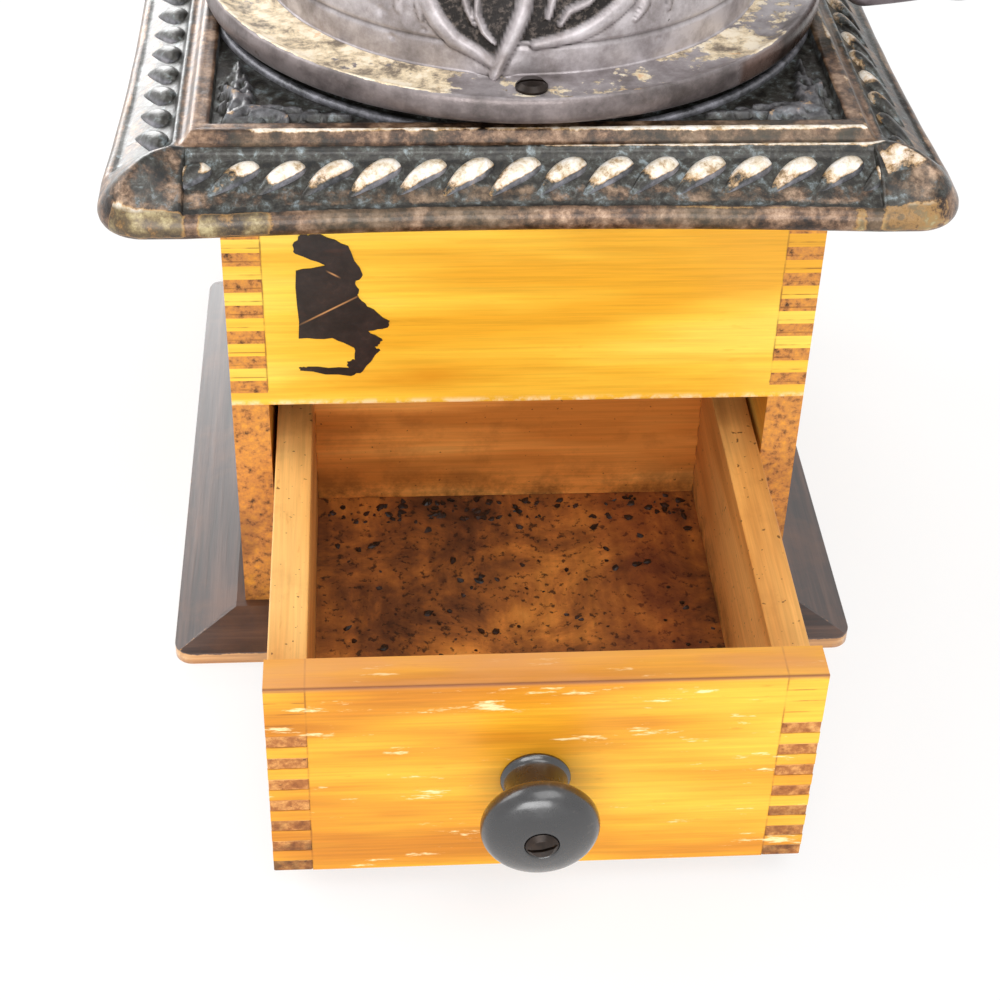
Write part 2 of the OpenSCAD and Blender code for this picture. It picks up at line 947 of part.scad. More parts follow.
module drawer_knob_screw() {
  top = knob_neck + knob_t - 1;
  color("#6b4a33")
    knob_place() {
      rod(1.6, -front_t + 1.5, top + e);
      difference() {
        translate([0, 0, top])
          rotate_extrude()
            polygon([[0, 0], [3.8, 0], [3.8, 0.9], [2.6, 1.9], [0, 2.3]]);
        rotate([0, 0, 12])
          translate([-6, -0.45, top + 1.1])
            cube([12, 0.9, 3]);
      }
    }
}

base_board();
base_screws();
side_left();
side_right();
front_rail();
back_panel();
label_remnant();
top_plate();
hopper_dome();
hopper_screws();
upper_bush();
lid_ring();
hopper_lid();
lid_button();
outer_burr();
burr_bolts();
bridge();
adjuster_wheel();
adjuster_ring();
thrust_screw();
spindle();
inner_burr();
crank_arm();
crank_washer();
crank_nut();
grip_rivet();
crank_grip();
drawer_front();
drawer_side_left();
drawer_side_right();
drawer_back();
drawer_bottom();
drawer_knob();
drawer_knob_screw();
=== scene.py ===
# %% [markdown]
# # Hand crank coffee grinder
#
# A small kitchen grinder from about 1900: a box of varnished beech on a dark
# base board, a cast top with rope moulding, an iron hopper with a raised
# ornament, and a drawer for the ground coffee, which stands open here.
#
# The measured model is loaded first and is never moved. Everything that is made
# below is dressing: better surfaces for its boards, and finer castings in
# place of the plain ones. Shapes are written in millimetres and turned to
# metres at the last moment; lamps and the floor are placed in metres.

import math
from functools import partial, reduce

import bpy
import numpy as np
from mathutils import Matrix, Vector


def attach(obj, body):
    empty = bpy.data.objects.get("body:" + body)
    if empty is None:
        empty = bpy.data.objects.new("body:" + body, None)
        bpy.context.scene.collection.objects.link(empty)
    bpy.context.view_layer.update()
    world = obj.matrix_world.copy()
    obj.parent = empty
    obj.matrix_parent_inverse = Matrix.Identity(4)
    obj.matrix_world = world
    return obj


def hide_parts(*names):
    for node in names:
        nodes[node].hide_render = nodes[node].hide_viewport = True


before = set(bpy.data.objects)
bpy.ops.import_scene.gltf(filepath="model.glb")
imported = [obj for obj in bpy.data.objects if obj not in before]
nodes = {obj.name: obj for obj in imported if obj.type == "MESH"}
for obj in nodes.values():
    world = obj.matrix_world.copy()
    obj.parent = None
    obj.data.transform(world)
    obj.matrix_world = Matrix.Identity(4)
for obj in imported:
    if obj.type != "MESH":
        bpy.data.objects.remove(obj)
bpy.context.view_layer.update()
MM = 0.001

# %% [markdown]
# ## Camera
#
# A camera is only a place, a direction and a lens. The direction is given as
# a turn around the object, a height above the horizon and a small roll,
# because these are the numbers that one reads off a real set-up. The lens is
# slightly off centre, as when a picture has been cropped, so the view is
# shifted by a few hundredths of its width.

# %% Camera
camera_place = Vector((-38.5, -492.3, 391.4)) * MM
camera_turn, camera_height, camera_roll = (math.radians(a) for a in (-5.096, 37.414, 2.125))

back = Vector((
    math.sin(camera_turn) * math.cos(camera_height),
    -math.cos(camera_turn) * math.cos(camera_height),
    math.sin(camera_height),
))
level = Vector((math.cos(camera_turn), math.sin(camera_turn), 0))
upright = level.cross(-back)
right = math.cos(camera_roll) * level + math.sin(camera_roll) * upright
up = -math.sin(camera_roll) * level + math.cos(camera_roll) * upright

lens = bpy.data.cameras.new("studio_camera")
lens.sensor_width, lens.lens = 36, 72.126
lens.shift_x, lens.shift_y = -0.0150, -0.0839
lens.clip_start, lens.clip_end = 0.02, 20
camera = bpy.data.objects.new("studio_camera", lens)
camera.matrix_world = Matrix.Translation(camera_place) @ Matrix((right, up, back)).transposed().to_4x4()
bpy.context.scene.collection.objects.link(camera)
bpy.context.scene.camera = camera
print("camera", [round(v, 3) for v in camera_place])

# %% [markdown]
# ## Small helpers
#
# Colours are picked as hex values, as in any paint program, but Blender
# works with linear light, so one function does the change. The next adds a
# shader node with its settings and links in a single call, and most of the
# others are short names for the nodes that are used all the time. The last
# ones turn lists of points and faces into smooth mesh objects.

# %% Nodes
def linear(code):
    """Linear colour of an sRGB hex code."""
    parts = [int(code[i:i + 2], 16) / 255 for i in (1, 3, 5)]
    return [p / 12.92 if p <= 0.04045 else ((p + 0.055) / 1.055) ** 2.4 for p in parts] + [1]


def add(tree, kind, feeds=None, **settings):
    """One node with its settings; a feed is a number, a colour code, a node or one of its outputs."""
    made = tree.nodes.new(kind)
    for name, value in settings.items():
        setattr(made, name, value)
    for name, value in (feeds or {}).items():
        if hasattr(value, "outputs"):
            value = value.outputs[0]
        if isinstance(value, bpy.types.NodeSocket):
            tree.links.new(value, made.inputs[name])
        else:
            made.inputs[name].default_value = linear(value) if isinstance(value, str) else value
    return made


def tree_of(*values):
    """The tree of the first node or output among some values."""
    return next(value.id_data for value in values if hasattr(value, "id_data"))


def sum_up(operation, a, b=0):
    """One sum on two numbers or outputs."""
    return add(tree_of(a, b), "ShaderNodeMath", {0: a, 1: b}, operation=operation).outputs[0]


times, plus, minus, size_of, more_than, most = (partial(sum_up, kind) for kind in (
    "MULTIPLY", "ADD", "SUBTRACT", "ABSOLUTE", "GREATER_THAN", "MAXIMUM"))


def remap(value, low=0, high=1, to_low=0, to_high=1, rise="LINEAR"):
    """The range low to high turned to the range to_low to to_high, and held at its ends."""
    return add(tree_of(value), "ShaderNodeMapRange", {
        "Value": value, "From Min": low, "From Max": high, "To Min": to_low, "To Max": to_high,
    }, interpolation_type=rise).outputs[0]


def near(value, target, reach):
    """1 where value is at target, falling to 0 at reach."""
    return remap(size_of(minus(value, target)), 0, reach, 1, 0, "SMOOTHSTEP")


def swing(value, middle, amount):
    """How far value is from a middle, times an amount."""
    return times(minus(value, middle), amount)


def noise(place, scale, detail, rough=0.5, twist=0.0):
    """Noise about 0.5 with so many patches per metre."""
    return add(tree_of(place), "ShaderNodeTexNoise", {
        "Vector": place, "Scale": scale, "Detail": detail, "Roughness": rough, "Distortion": twist,
    }).outputs[0]


def streaks_of(place, along, across, axis, detail, rough=0.5, twist=0.0):
    """Noise drawn out into streaks along one axis."""
    scale = [across] * 3
    scale[axis] = along
    drawn = add(tree_of(place), "ShaderNodeMapping", {"Vector": place, "Scale": scale})
    return noise(drawn, 1, detail, rough, twist)


def ramp(share, *stops):
    """Colours along a share, from pairs of a place and a colour code."""
    made = add(tree_of(share), "ShaderNodeValToRGB", {"Fac": share})
    elements = made.color_ramp.elements
    while len(elements) < len(stops):
        elements.new(1)
    for element, (place, code) in zip(elements, stops):
        element.position, element.color = place, linear(code)
    return made.outputs[0]


def blend(share, low, high, mode="MIX"):
    """Two colours mixed by a share."""
    return add(tree_of(share, low, high), "ShaderNodeMix", {0: share, 6: low, 7: high},
               data_type="RGBA", blend_type=mode).outputs[2]


def over(colour, *coats):
    """Lays coats over a colour: each has its tone, and shares whose product says how much it covers."""
    for tone, *shares in coats:
        colour = blend(reduce(times, shares), colour, tone)
    return colour


def bumps(height, strength, depth, under=None):
    """Fine relief of a depth in millimetres, on top of another one if given."""
    feeds = {"Height": height, "Strength": strength, "Distance": depth * MM}
    if under:
        feeds["Normal"] = under
    return add(tree_of(height), "ShaderNodeBump", feeds).outputs[0]


def axes_of(place):
    """The three parts of a vector."""
    return add(tree_of(place), "ShaderNodeSeparateXYZ", {"Vector": place}).outputs


def blank(name, *stored):
    """A new material, its coordinates, and the numbers stored on the mesh under some names."""
    finish = bpy.data.materials.new(name)
    finish.use_nodes = True
    tree = finish.node_tree
    tree.nodes.clear()
    return [finish, add(tree, "ShaderNodeTexCoord").outputs["Object"]] + [
        add(tree, "ShaderNodeAttribute", attribute_name=key).outputs["Fac"] for key in stored]


def shaded(finish, colour, rough, normal, more=None):
    """Closes a material with one Principled shader."""
    surface = add(finish.node_tree, "ShaderNodeBsdfPrincipled", {
        "Base Color": colour, "Roughness": rough, "Normal": normal, **(more or {}),
    })
    add(finish.node_tree, "ShaderNodeOutputMaterial", {"Surface": surface})
    return finish


# %% Meshes
def shaped(name, points, faces, smooth=True, linked=True):
    """A mesh object from points in metres."""
    mesh = bpy.data.meshes.new(name)
    mesh.from_pydata(points, [], faces)
    mesh.polygons.foreach_set("use_smooth", [smooth] * len(mesh.polygons))
    made = bpy.data.objects.new(name, mesh)
    if linked:
        bpy.context.scene.collection.objects.link(made)
    return made


def piece(name, points, faces, body, slot, material, smooth=True):
    """A mesh object from points in millimetres, riding on a body."""
    made = shaped(name, [tuple(float(v) * MM for v in p) for p in points], faces, smooth)
    made.data.validate()
    made.data.materials.append(material)
    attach(made, body)
    print(name, len(made.data.vertices), "points")
    return made


def store(thing, **lists):
    """Keeps one number per point on a mesh, for its shader."""
    for name, values in lists.items():
        kept = thing.data.attributes.new(name, "FLOAT", "POINT").data
        kept.foreach_set("value", [float(v) for v in values])


def grid_faces(rows, columns, closed=True, start=0):
    """Faces between neighbouring rows of points, wrapping round where closed."""
    faces = []
    for r in range(rows - 1):
        low, high = start + r * columns, start + (r + 1) * columns
        for c in range(columns if closed else columns - 1):
            d = (c + 1) % columns
            faces.append((low + c, low + d, high + d, high + c))
    return faces


def flipped(faces):
    """Faces that look the other way."""
    return [face[::-1] for face in faces]


def ring(radius, z, steps, phase=0.0):
    """Points evenly round an upright axis, anticlockwise from +X."""
    turns = (2 * math.pi * c / steps + phase for c in range(steps))
    return [(radius * math.cos(a), radius * math.sin(a), z) for a in turns]


def ease(low, high, value):
    """0 below low, 1 above high, and a smooth rise between."""
    t = np.clip((np.asarray(value, float) - low) / (high - low), 0, 1)
    return t * t * (3 - 2 * t)

# %% [markdown]
# ## Floor, backdrop and light
#
# The object stands in a white room. A big floor takes the contact shadow, and
# the sky and floor show as plain white to the camera. A soft box beside the
# camera lights the front under the overhanging lip and the inside of the
# drawer. One to the left and one overhead model the relief, and a bright
# window low down behind, on the left, turns the left slope of the casting to
# silver, since metal and varnish mirror most at a glancing angle.

# %% Studio
def studio_floor(half=6, glow_share=0.72):
    """White floor that keeps part of its shadow."""
    finish, _ = blank("white_paper_floor")
    tree = finish.node_tree
    paper = add(tree, "ShaderNodeBsdfDiffuse", {"Color": "#FFFFFF"})
    glow = add(tree, "ShaderNodeEmission", {"Color": "#FFFFFF", "Strength": 1.0})
    ray = add(tree, "ShaderNodeLightPath").outputs
    share = times(most(ray["Is Camera Ray"], ray["Is Glossy Ray"]), glow_share)
    both = add(tree, "ShaderNodeMixShader", {0: share, 1: paper, 2: glow})
    add(tree, "ShaderNodeOutputMaterial", {"Surface": both})
    corners = [(-half, -half, 0), (half, -half, 0), (half, half, 0), (-half, half, 0)]
    floor = shaped("studio_floor", corners, [(0, 1, 2, 3)], smooth=False)
    floor.data.materials.append(finish)


def white_room(glow):
    """World that is white to the camera and in the metal, and softer as a lamp."""
    world = bpy.data.worlds.new("white_room")
    bpy.context.scene.world = world
    world.use_nodes = True
    tree = world.node_tree
    tree.nodes.clear()
    ray = add(tree, "ShaderNodeLightPath").outputs
    seen = most(most(ray["Is Camera Ray"], ray["Is Transmission Ray"]), ray["Is Glossy Ray"])
    strength = remap(seen, 0, 1, glow, 1)
    light = add(tree, "ShaderNodeBackground", {"Color": "#FFFFFF", "Strength": strength})
    add(tree, "ShaderNodeOutputWorld", {"Surface": light})


def soft_box(name, place, size, watts):
    """Square lamp that looks at the middle of the box."""
    lamp = bpy.data.lights.new(name, "AREA")
    lamp.shape = "RECTANGLE"
    lamp.size, lamp.size_y = size
    lamp.energy = watts
    made = bpy.data.objects.new(name, lamp)
    made.location = place
    aim = Vector((0, -0.04, 0.08)) - made.location
    made.rotation_euler = aim.to_track_quat("-Z", "Y").to_euler()
    bpy.context.scene.collection.objects.link(made)


bpy.context.scene.view_settings.view_transform = "Standard"
studio_floor()
white_room(0.6)
soft_box("front_soft_box", (-0.25, -2.0, 0.75), (1.5, 1.0), 24)
soft_box("left_soft_box", (-1.15, 0.25, 0.95), (1.0, 1.0), 8)
soft_box("overhead_soft_box", (0.35, -0.75, 1.5), (1.2, 0.9), 8)
soft_box("window_behind_left", (-0.62, 1.45, 0.42), (0.9, 0.7), 12)

# %% [markdown]
# ## Varnished beech
#
# The box and drawer are beech or a similar pale wood under an orange shellac
# varnish. Long grain shows as fine streaks along the board with broad bands
# of darker and paler varnish. Where a board ends, its cut fibres drink more
# varnish and turn brown, which is what makes the finger joints so plain to
# see. The shader finds these ends by itself: they are the faces that look
# along the grain.

# %% Wood shader
def wood(name, axis, pale, body_tone, streak, end_tone, gloss=0.32, dirt=0.0, dirt_tone="#3A2412",
         marks=None,
         shift=0.0):
    """Varnished wood with its grain along one axis (0 X, 1 Y, 2 Z)."""
    finish, place = blank(name)
    spot = add(finish.node_tree, "ShaderNodeMapping",
               {"Vector": place, "Location": [shift] * 3}).outputs[0]
    # Broad bands of varnish, about 12 mm wide and 90 mm long.
    bands = streaks_of(spot, 9, 62, axis, 3)
    # Fine fibres, drawn 0.9 mm wide because real ones are too thin to show.
    fibres = streaks_of(spot, 28, 1100, axis, 4, 0.62)
    tone = ramp(bands, (0.36, streak), (0.5, body_tone), (0.64, pale))
    long_grain = blend(1.0, tone, remap(fibres, 0.34, 0.7, 0.84, 1.07), "MULTIPLY")
    pores = remap(streaks_of(spot, 160, 900, axis, 2), 0.66, 0.76, 0, 0.38)
    long_grain = blend(pores, long_grain, streak)
    # End grain: darker, with fine rings.
    ends = ramp(noise(spot, 420, 4, 0.7), (0.3, dirt_tone), (0.46, end_tone), (0.75, body_tone))
    facing = axes_of(place.node.outputs["Normal"])[axis]
    colour = blend(more_than(size_of(facing), 0.8), long_grain, ends)
    if marks:
        colour = marks(colour, spot, *axes_of(place))
    if dirt:
        colour = blend(remap(noise(spot, 75, 6, 0.66), 0.52, 0.74, 0, dirt), colour, dirt_tone)
    sheen = remap(bands, 0, 1, gloss - 0.1, gloss + 0.16)
    return shaded(finish, colour, sheen, bumps(fibres, 0.35, 0.12),
                  {"IOR": 1.48, "Specular IOR Level": 0.35})


def band(value, target, reach):
    """Like near, with lengths in millimetres."""
    return near(value, target * MM, reach * MM)


def joint_lines(bottom, pitch, inner, strength=0.75):
    """Thin dark glue lines between the fingers, from a height up, outside |x| = inner."""
    def draw(colour, spot, x, y, z):
        # A line 0.6 mm wide at each step of the fingers.
        steps = sum_up("DIVIDE", minus(z, bottom * MM), pitch * MM)
        part = size_of(minus(sum_up("FRACT", steps), 0.5))
        line = remap(part, 0.5 - 0.3 / pitch, 0.5)
        out = size_of(x)
        zone = more_than(out, (inner - 0.2) * MM)
        high = more_than(z, (bottom - 0.3) * MM)
        lines = most(times(times(line, zone), high), times(band(out, inner, 0.4), high))
        uneven = remap(noise(spot, 180, 2), 0.38, 0.6, 0.1, strength)
        return over(colour, ("#6B3A14", lines, uneven))
    return draw


print("wood shader ready")

# %% [markdown]
# ## Wear on the boards
#
# Old boxes are worn where hands and the drawer rub. The lower edge of the
# front panel has lost its varnish and shows cream-coloured chips, the top of
# the drawer front is rubbed to a dull pink-brown by fingers, and the drawer's
# floor is stained by a lifetime of coffee. Each of these is a band at a known
# height or depth, broken up by noise.

# %% Worn and stained boards
box_joints = joint_lines(80.9, 3.93, 65.5)


def panel_marks(colour, spot, x, y, z):
    """Finger lines, a chipped lower edge, a few long scuffs and painted shade under the lip on the front
    panel.
    """
    broken = remap(noise(spot, 160, 5, 0.7), 0.44, 0.56)
    faded = remap(streaks_of(spot, 14, 46, 0, 4), 0.46, 0.66)
    return over(
        box_joints(colour, spot, x, y, z),
        ("#FBE3B2", band(z, 76, 2.1), broken),
        ("#D08A2A", band(z, 76, 0.9), 0.3),
        # Painted shade: a darker brown band just under the casting's lip.
        ("#A8641E", band(z, 144, 5), 0.6),
        ("#D98E1E", band(z, 84, 7), faded))


def drawer_front_marks(colour, spot, x, y, z):
    """Finger lines, pale scuffs round the knob, and a rubbed top edge on the drawer front."""
    rubbed = remap(streaks_of(spot, 50, 300, 0, 5, 0.72), 0.62, 0.68)
    browned = remap(streaks_of(spot, 25, 120, 0, 4), 0.34, 0.62, 0.35, 0.95)
    return over(
        joint_lines(8.0, 3.565, 54.9, 0.6)(colour, spot, x, y, z),
        ("#FFEBB4", rubbed, 0.75),
        ("#D69660", band(z, 70, 2.2), browned),
        ("#7A4A34", band(z, 69.5, 1.1), band(y, -172, 0.8), 0.8))


def side_marks(colour, spot, x, y, z):
    """Finger lines on the side boards, and dirt on their lower front edges."""
    dirty = remap(noise(spot, 52, 7, 0.7), 0.42, 0.62)
    return over(box_joints(colour, spot, x, y, z), ("#6E4424", remap(z, 8 * MM, 62 * MM, 1, 0), dirty))


def inner_marks(colour, spot, x, y, z):
    """Brown stain creeping up from the drawer's floor, and speckled dust."""
    wet = remap(noise(spot, 90, 6, 0.7), 0.4, 0.6)
    dots = remap(noise(spot, 700, 1), 0.72, 0.76, 0, 0.8)
    return over(colour, ("#3A2110", remap(z, 16 * MM, 30 * MM, 0.75, 0), wet), ("#4A2A14", dots))


def stained_floor():
    """Raw beech, stained nearly black-brown by ground coffee, with a paler patch in the middle."""
    finish, spot = blank("coffee_stained_beech")
    x, y, _ = axes_of(spot)
    # Stain in blots about 15 mm across, broken into specks of about 1 mm.
    blots = noise(spot, 38, 7, 0.68, 0.4)
    specks = noise(spot, 520, 3, 0.6)
    clear = times(band(x, -10, 17), band(y, -150, 62))
    base = ramp(plus(blots, times(clear, 0.28)), (0.33, "#4A2B1A"), (0.44, "#7A4A28"),
                (0.55, "#AE6C32"), (0.66, "#DC9040"), (0.8, "#F0A850"))
    grain = remap(streaks_of(spot, 22, 320, 1, 4), 0.3, 0.7, 0.72, 1.14)
    colour = over(blend(1.0, base, grain, "MULTIPLY"), ("#1E110A", remap(specks, 0.57, 0.66, 0, 0.85)),
                  ("#7A3015", band(x, 38, 20), 0.35))
    return shaded(finish, colour, 0.62, bumps(specks, 0.6, 0.2))


def dress(finish, *names, bevel=0.35):
    """Gives measured nodes their finish, and rounds their edges slightly."""
    for name in names:
        board = nodes[name]
        board.data.materials.clear()
        board.data.materials.append(finish)
        if bevel:
            weld = board.modifiers.new("merge_points", "WELD")
            weld.merge_threshold = 0.00001
            soft = board.modifiers.new("rounded_edges", "BEVEL")
            soft.width, soft.segments = bevel * MM, 2
            soft.limit_method, soft.angle_limit = "ANGLE", math.radians(50)
            soft.harden_normals = False


dress(wood("varnished_beech_panel", 0, "#FFD656", "#FFC640", "#EDAC2E", "#BC7622", marks=panel_marks),
      "front_rail")
dress(wood("varnished_beech_sides", 1, "#F7BE55", "#EDA63B", "#C9822A", "#C2803F", marks=side_marks,
           shift=0.37),
      "side_left", "side_right")
dress(wood("varnished_beech_back", 0, "#FFC440", "#F2A62A", "#CB8020", "#A8601E",
           marks=joint_lines(7.7, 3.84, 65.5), shift=0.71), "back_panel")
dress(wood("varnished_beech_drawer_front", 0, "#FBBE3C", "#EBA328", "#CC801C", "#96541E",
           marks=drawer_front_marks, shift=0.19), "drawer_front")
dress(wood("thin_varnish_drawer_sides", 1, "#F9C274", "#EAAC60", "#CC8A46", "#A96932", gloss=0.45,
           dirt=0.2,
           dirt_tone="#8A4F22", marks=inner_marks, shift=0.53), "drawer_side_left", "drawer_side_right")
dress(wood("thin_varnish_drawer_back", 0, "#FFBE66", "#F0A04C", "#CC7E34", "#A4602A", gloss=0.5,
           dirt=0.35,
           dirt_tone="#6E3E18", marks=inner_marks, shift=0.9), "drawer_back")
dress(stained_floor(), "drawer_bottom", bevel=0)
print("boards dressed")

# %% [markdown]
# ## Base board
#
# The base is darker: walnut or stained beech that was ebonised, with a broad
# bevel on all four sides. Its varnish has a grey bloom where light rakes it,
# and the bare wood shows along the lower edge, at the corners and along the
# mitres, where the stain has been knocked off.

# %% Ebonised base
def ebonised():
    """Black-brown stained wood with bare edges."""
    finish, spot = blank("ebonised_walnut")
    x, y, z = axes_of(spot)
    past_mitre = minus(size_of(x), size_of(y))
    # The grain runs with each bevel: along Y on the sides, along X in front and behind.
    side_grain, front_grain = (streaks_of(spot, 18, 420, axis, 5, 0.6) for axis in (1, 0))
    grain = add(finish.node_tree, "ShaderNodeMix", {
        0: more_than(past_mitre, 2 * MM), 2: front_grain, 3: side_grain}, data_type="FLOAT").outputs[0]
    stain = ramp(grain, (0.3, "#1E1310"), (0.5, "#3A2720"), (0.7, "#5C4438"))
    low = remap(z, 3 * MM, 4.4 * MM, 0.62, 0)
    mitre = times(band(past_mitre, 1.6, 1.6), 0.34)
    ledge = times(band(z, 7.7, 0.5), 0.16)
    bare = plus(most(low, most(mitre, ledge)), minus(noise(spot, 140, 6, 0.75), 0.5))
    raw = ramp(grain, (0.3, "#8A5630"), (0.55, "#C9955C"), (0.75, "#E3BE8C"))
    warm = remap(noise(spot, 34, 6, 0.65), 0.5, 0.68, 0, 0.55)
    colour = over(stain, ("#6B452C", warm), (raw, remap(bare, 0.36, 0.5)))
    return shaded(finish, colour, 0.3, bumps(grain, 0.5, 0.2), {
        "Specular IOR Level": 0.75, "Coat Weight": 0.35, "Coat Roughness": 0.28})


dress(ebonised(), "base_board", bevel=0.8)

# %% [markdown]
# ## The cast top
#
# The top is one thin iron casting: a square plate with a sunk field, a raised
# frame, sloping sides, four raised corners and a rounded lip. Its sides are
# not straight: seen from above, they pull in by about 2.6 mm in the middle,
# and the corners are round. That is easiest as a net of points. Each row is a
# ring round the casting at one level of its section, and each column runs
# from the frame over the slope to the lip. Where a row passes a corner it
# takes the height of the raised corner instead.

# %% Section of the casting
box_top = 150.0
lip_low = box_top - 7.5
field = box_top + 7.0
underside = box_top + 3.2
# Each level: half width at the corner, and rise over the field in the middle of a side.
levels = [(half, field + rise) for half, rise in (
    (72.0, 0), (75.3, 0), (75.5, 1.7), (75.9, 2.25), (76.6, 2.4), (77.6, 2.36), (78.5, 2.42),
    (79.2, 2.5), (79.8, 2.3), (80.3, 1.8), (80.9, 0.9), (81.6, 0.15), (82.3, -0.2), (82.9, 0),
    (83.4, 0.1), (83.9, -0.2), (84.3, -1.0), (84.8, -2.0), (86.0, -2.7), (88.0, -3.6), (90.0, -4.6),
    (92.0, -5.55), (94.0, -6.5), (95.6, -7.3), (96.8, -7.9), (97.5, -8.35), (98.1, -8.5),
    (98.7, -8.45), (99.4, -8.5), (100.1, -8.85), (100.8, -9.6), (101.25, -10.7), (101.4, -11.8),
    (101.2, -12.9), (100.7, -13.7), (99.9, -14.3),
)] + [(99.0, lip_low + 0.05), (97.8, lip_low), (97.6, lip_low + 1.5), (96.0, lip_low + 4.0),
      (84.0, underside),
      (70.0, underside), (60.0, underside), (60.0, field)]
lip_row, under_row, back_row = 24, 33, 37
# Half width and rise of the raised corner.
corner_halves, corner_rises = zip(
    (80.9, 0.5), (82.2, 0.1), (84.2, 1.0), (86.4, 1.5), (89.0, 1.6), (91.4, 0.9), (93.6, -0.3),
    (96.0, -2.3), (97.6, -4.1), (98.8, -5.9), (99.8, -7.6), (100.4, -9.0), (101.0, -12.0))
corner_heights = [field + rise for rise in corner_rises]
panel_end = 80.8
panel_share, corner_share = 0.8, 0.2


def side_pull(half):
    """How far the middle of a side lies inside its corners."""
    return 2.6 * ease(84, 101.4, half)


def corner_round(half):
    """Radius of the corner at a level: a sharp mitre above, a round lip below."""
    return np.interp(half, [82, 91, 95, 101.4], [0.6, 0.9, 2.6, 12.0])


def column_place(half, column):
    """Place on the front side of a ring: column is -1 to 1, and its last fifth each way is the corner."""
    reach, radius = abs(column), corner_round(half)
    scale = min(1.0, half / 82.6)
    if reach <= panel_share:
        x = reach / panel_share * panel_end * scale
        bow = 1 - (x / panel_end) ** 2
        return math.copysign(x, column), -(half - side_pull(half) * max(0.0, bow))
    start = panel_end * scale
    flat, arc = max(0.0, half - radius - start), radius * math.pi / 4
    run = (reach - panel_share) / corner_share * (flat + arc)
    if run <= flat:
        return math.copysign(start + run, column), -half
    turn = (run - flat) / radius
    x = half - radius + radius * math.sin(turn)
    return math.copysign(x, column), -(half - radius + radius * math.cos(turn))


middle = [-panel_share + 2 * panel_share * i / 96 for i in range(97)]
wing = [panel_share + corner_share * i / 22 for i in (0.25, 0.5, *range(1, 22))]
columns = [-1.0] + [-w for w in reversed(wing)] + middle + wing


def spun(x, y, quarter):
    """A point of the front side, turned to another side."""
    for _ in range(quarter):
        x, y = -y, x
    return x, y


# The list cream holds each point's share of brass, painted highlights included.
points, cream, brown, grey = [], [], [], []


def stand(x, y, z, brass=0.0, tan=0.0, bare=0.0):
    """Adds a point, and how much brass (painted highlights included), brown and bare grey iron shows on
    it.
    """
    points.append((x, y, z))
    cream.append(brass)
    brown.append(tan)
    grey.append(bare)


def brass_wear_and_highlights(row, half, x, column, front):
    """Share of brass and painted highlight: worn brass with a painted highlight along the frame's crests,
    old gilding and chips on the lip with a painted highlight on its top edge, and a painted highlight on
    the right corner.
    """
    if row >= back_row:
        return 0.0
    # Two thin lines along the frame's crests: worn brass, and a painted highlight on those rounded edges.
    inner, outer = 0.5, 0.35
    if front:
        inner = np.interp(x, [-70, -63, -40, -22, 6, 16, 80], [0.3, 1.1, 1.0, 0.8, 0.66, 1.15, 1.0])
        outer = np.interp(x, [-80, -8, 10, 80], [0.12, 0.22, 0.8, 1.0])
    crest = inner * math.exp(-((half - 79.3) / 0.75) ** 2) + outer * math.exp(-((half - 83.3) / 0.55) ** 2)
    if front and row >= lip_row:
        # A long patch at the left end of the lip and chips at the right, and a painted highlight along the
        # lip's top edge on its right half.
        patch = ease(-58, -64, x) if x < 0 else 0.62 * ease(72, 76, x)
        crest = max(crest, patch * ease(98.2, 99.2, half) * (1.0 if row <= under_row else 0.4),
                    0.5 * math.exp(-((half - 99.2) / 0.5) ** 2) * ease(-20, 30, x))
    # A painted highlight on the front face of the right raised corner.
    if front and 85 < half < 94 and column > 0.83:
        crest = max(crest, 0.56 * ease(85, 86.5, half) * (1 - ease(91.5, 94, half)))
    return crest


def brown_wear(row, half, column):
    """Share of brown: the lip, the frame's top, the raised corners and the foot of the slope."""
    lip = ease(98.2, 99.4, half) if row < back_row else 0.0
    frame_top = ease(75.4, 76, half) * (1 - ease(81.5, 84.5, half))
    if row >= under_row:
        return max(lip, frame_top)
    hump = ease(0.8, 0.84, abs(column)) * ease(82, 86, half)
    return max(lip, frame_top, 0.44 * hump, 0.46 * ease(90, 94, half) * (1 - ease(97, 98, half)))


for row, (half, height) in enumerate(levels):
    on_hump = half >= 80.9 and row < under_row
    raised = np.interp(half, corner_halves, corner_heights) if on_hump else height
    for quarter in range(4):
        for column in columns:
            x, y = column_place(half, column)
            z = height
            if raised > height:
                # A step at the end of the rope panel, and from there a steady rise to the mitre.
                step_up = ease(*((0.8, 0.812) if half > 84.2 else (0.76, 0.83)), abs(column))
                rise = 0.42 + 0.58 * ease(0.81, 1.0, abs(column))
                z = height + (raised - height) * step_up * rise
            if row < under_row and half > 84:
                # Cast surface: gentle waviness of the hand-made pattern.
                z += 0.10 * math.sin(x * 0.31 + quarter) * math.sin(half * 0.9 + x * 0.07)
            stand(*spun(x, y, quarter), z, brass_wear_and_highlights(row, half, x, column, quarter == 0),
                  brown_wear(row, half, column))
faces = flipped(grid_faces(len(levels), 4 * len(columns)))
print("casting:", len(points), "points in", len(levels), "rings")

# %% [markdown]
# ### Ring bead, seat and spandrels
#
# A round bead runs about the hopper's flange, with a hidden seat inside it.
# The four corners of the sunk field, called spandrels, carry a leafy relief.
# A relief is a height over a flat net. Each leaf is drawn as a few bent
# strokes; the height falls off to both sides of a stroke like a soft ridge.

# %% Relief of the spandrels
def stroke_height(px, py, path, wide, high):
    """Height at points px, py of a stroke that follows path; it thins to its ends."""
    best = np.zeros_like(px)
    count = len(path) - 1
    for i in range(count):
        (ax, ay), (bx, by) = path[i], path[i + 1]
        dx, dy = bx - ax, by - ay
        along = np.clip(((px - ax) * dx + (py - ay) * dy) / (dx * dx + dy * dy), 0, 1)
        gap = np.hypot(px - ax - along * dx, py - ay - along * dy)
        share = (i + along) / count
        body = wide * (0.35 + 0.65 * np.sin(np.pi * np.clip(0.12 + share * 0.8, 0, 1)))
        best = np.maximum(best, high * ease(0, 1, 1.35 * (1 - gap / body)))
    return best


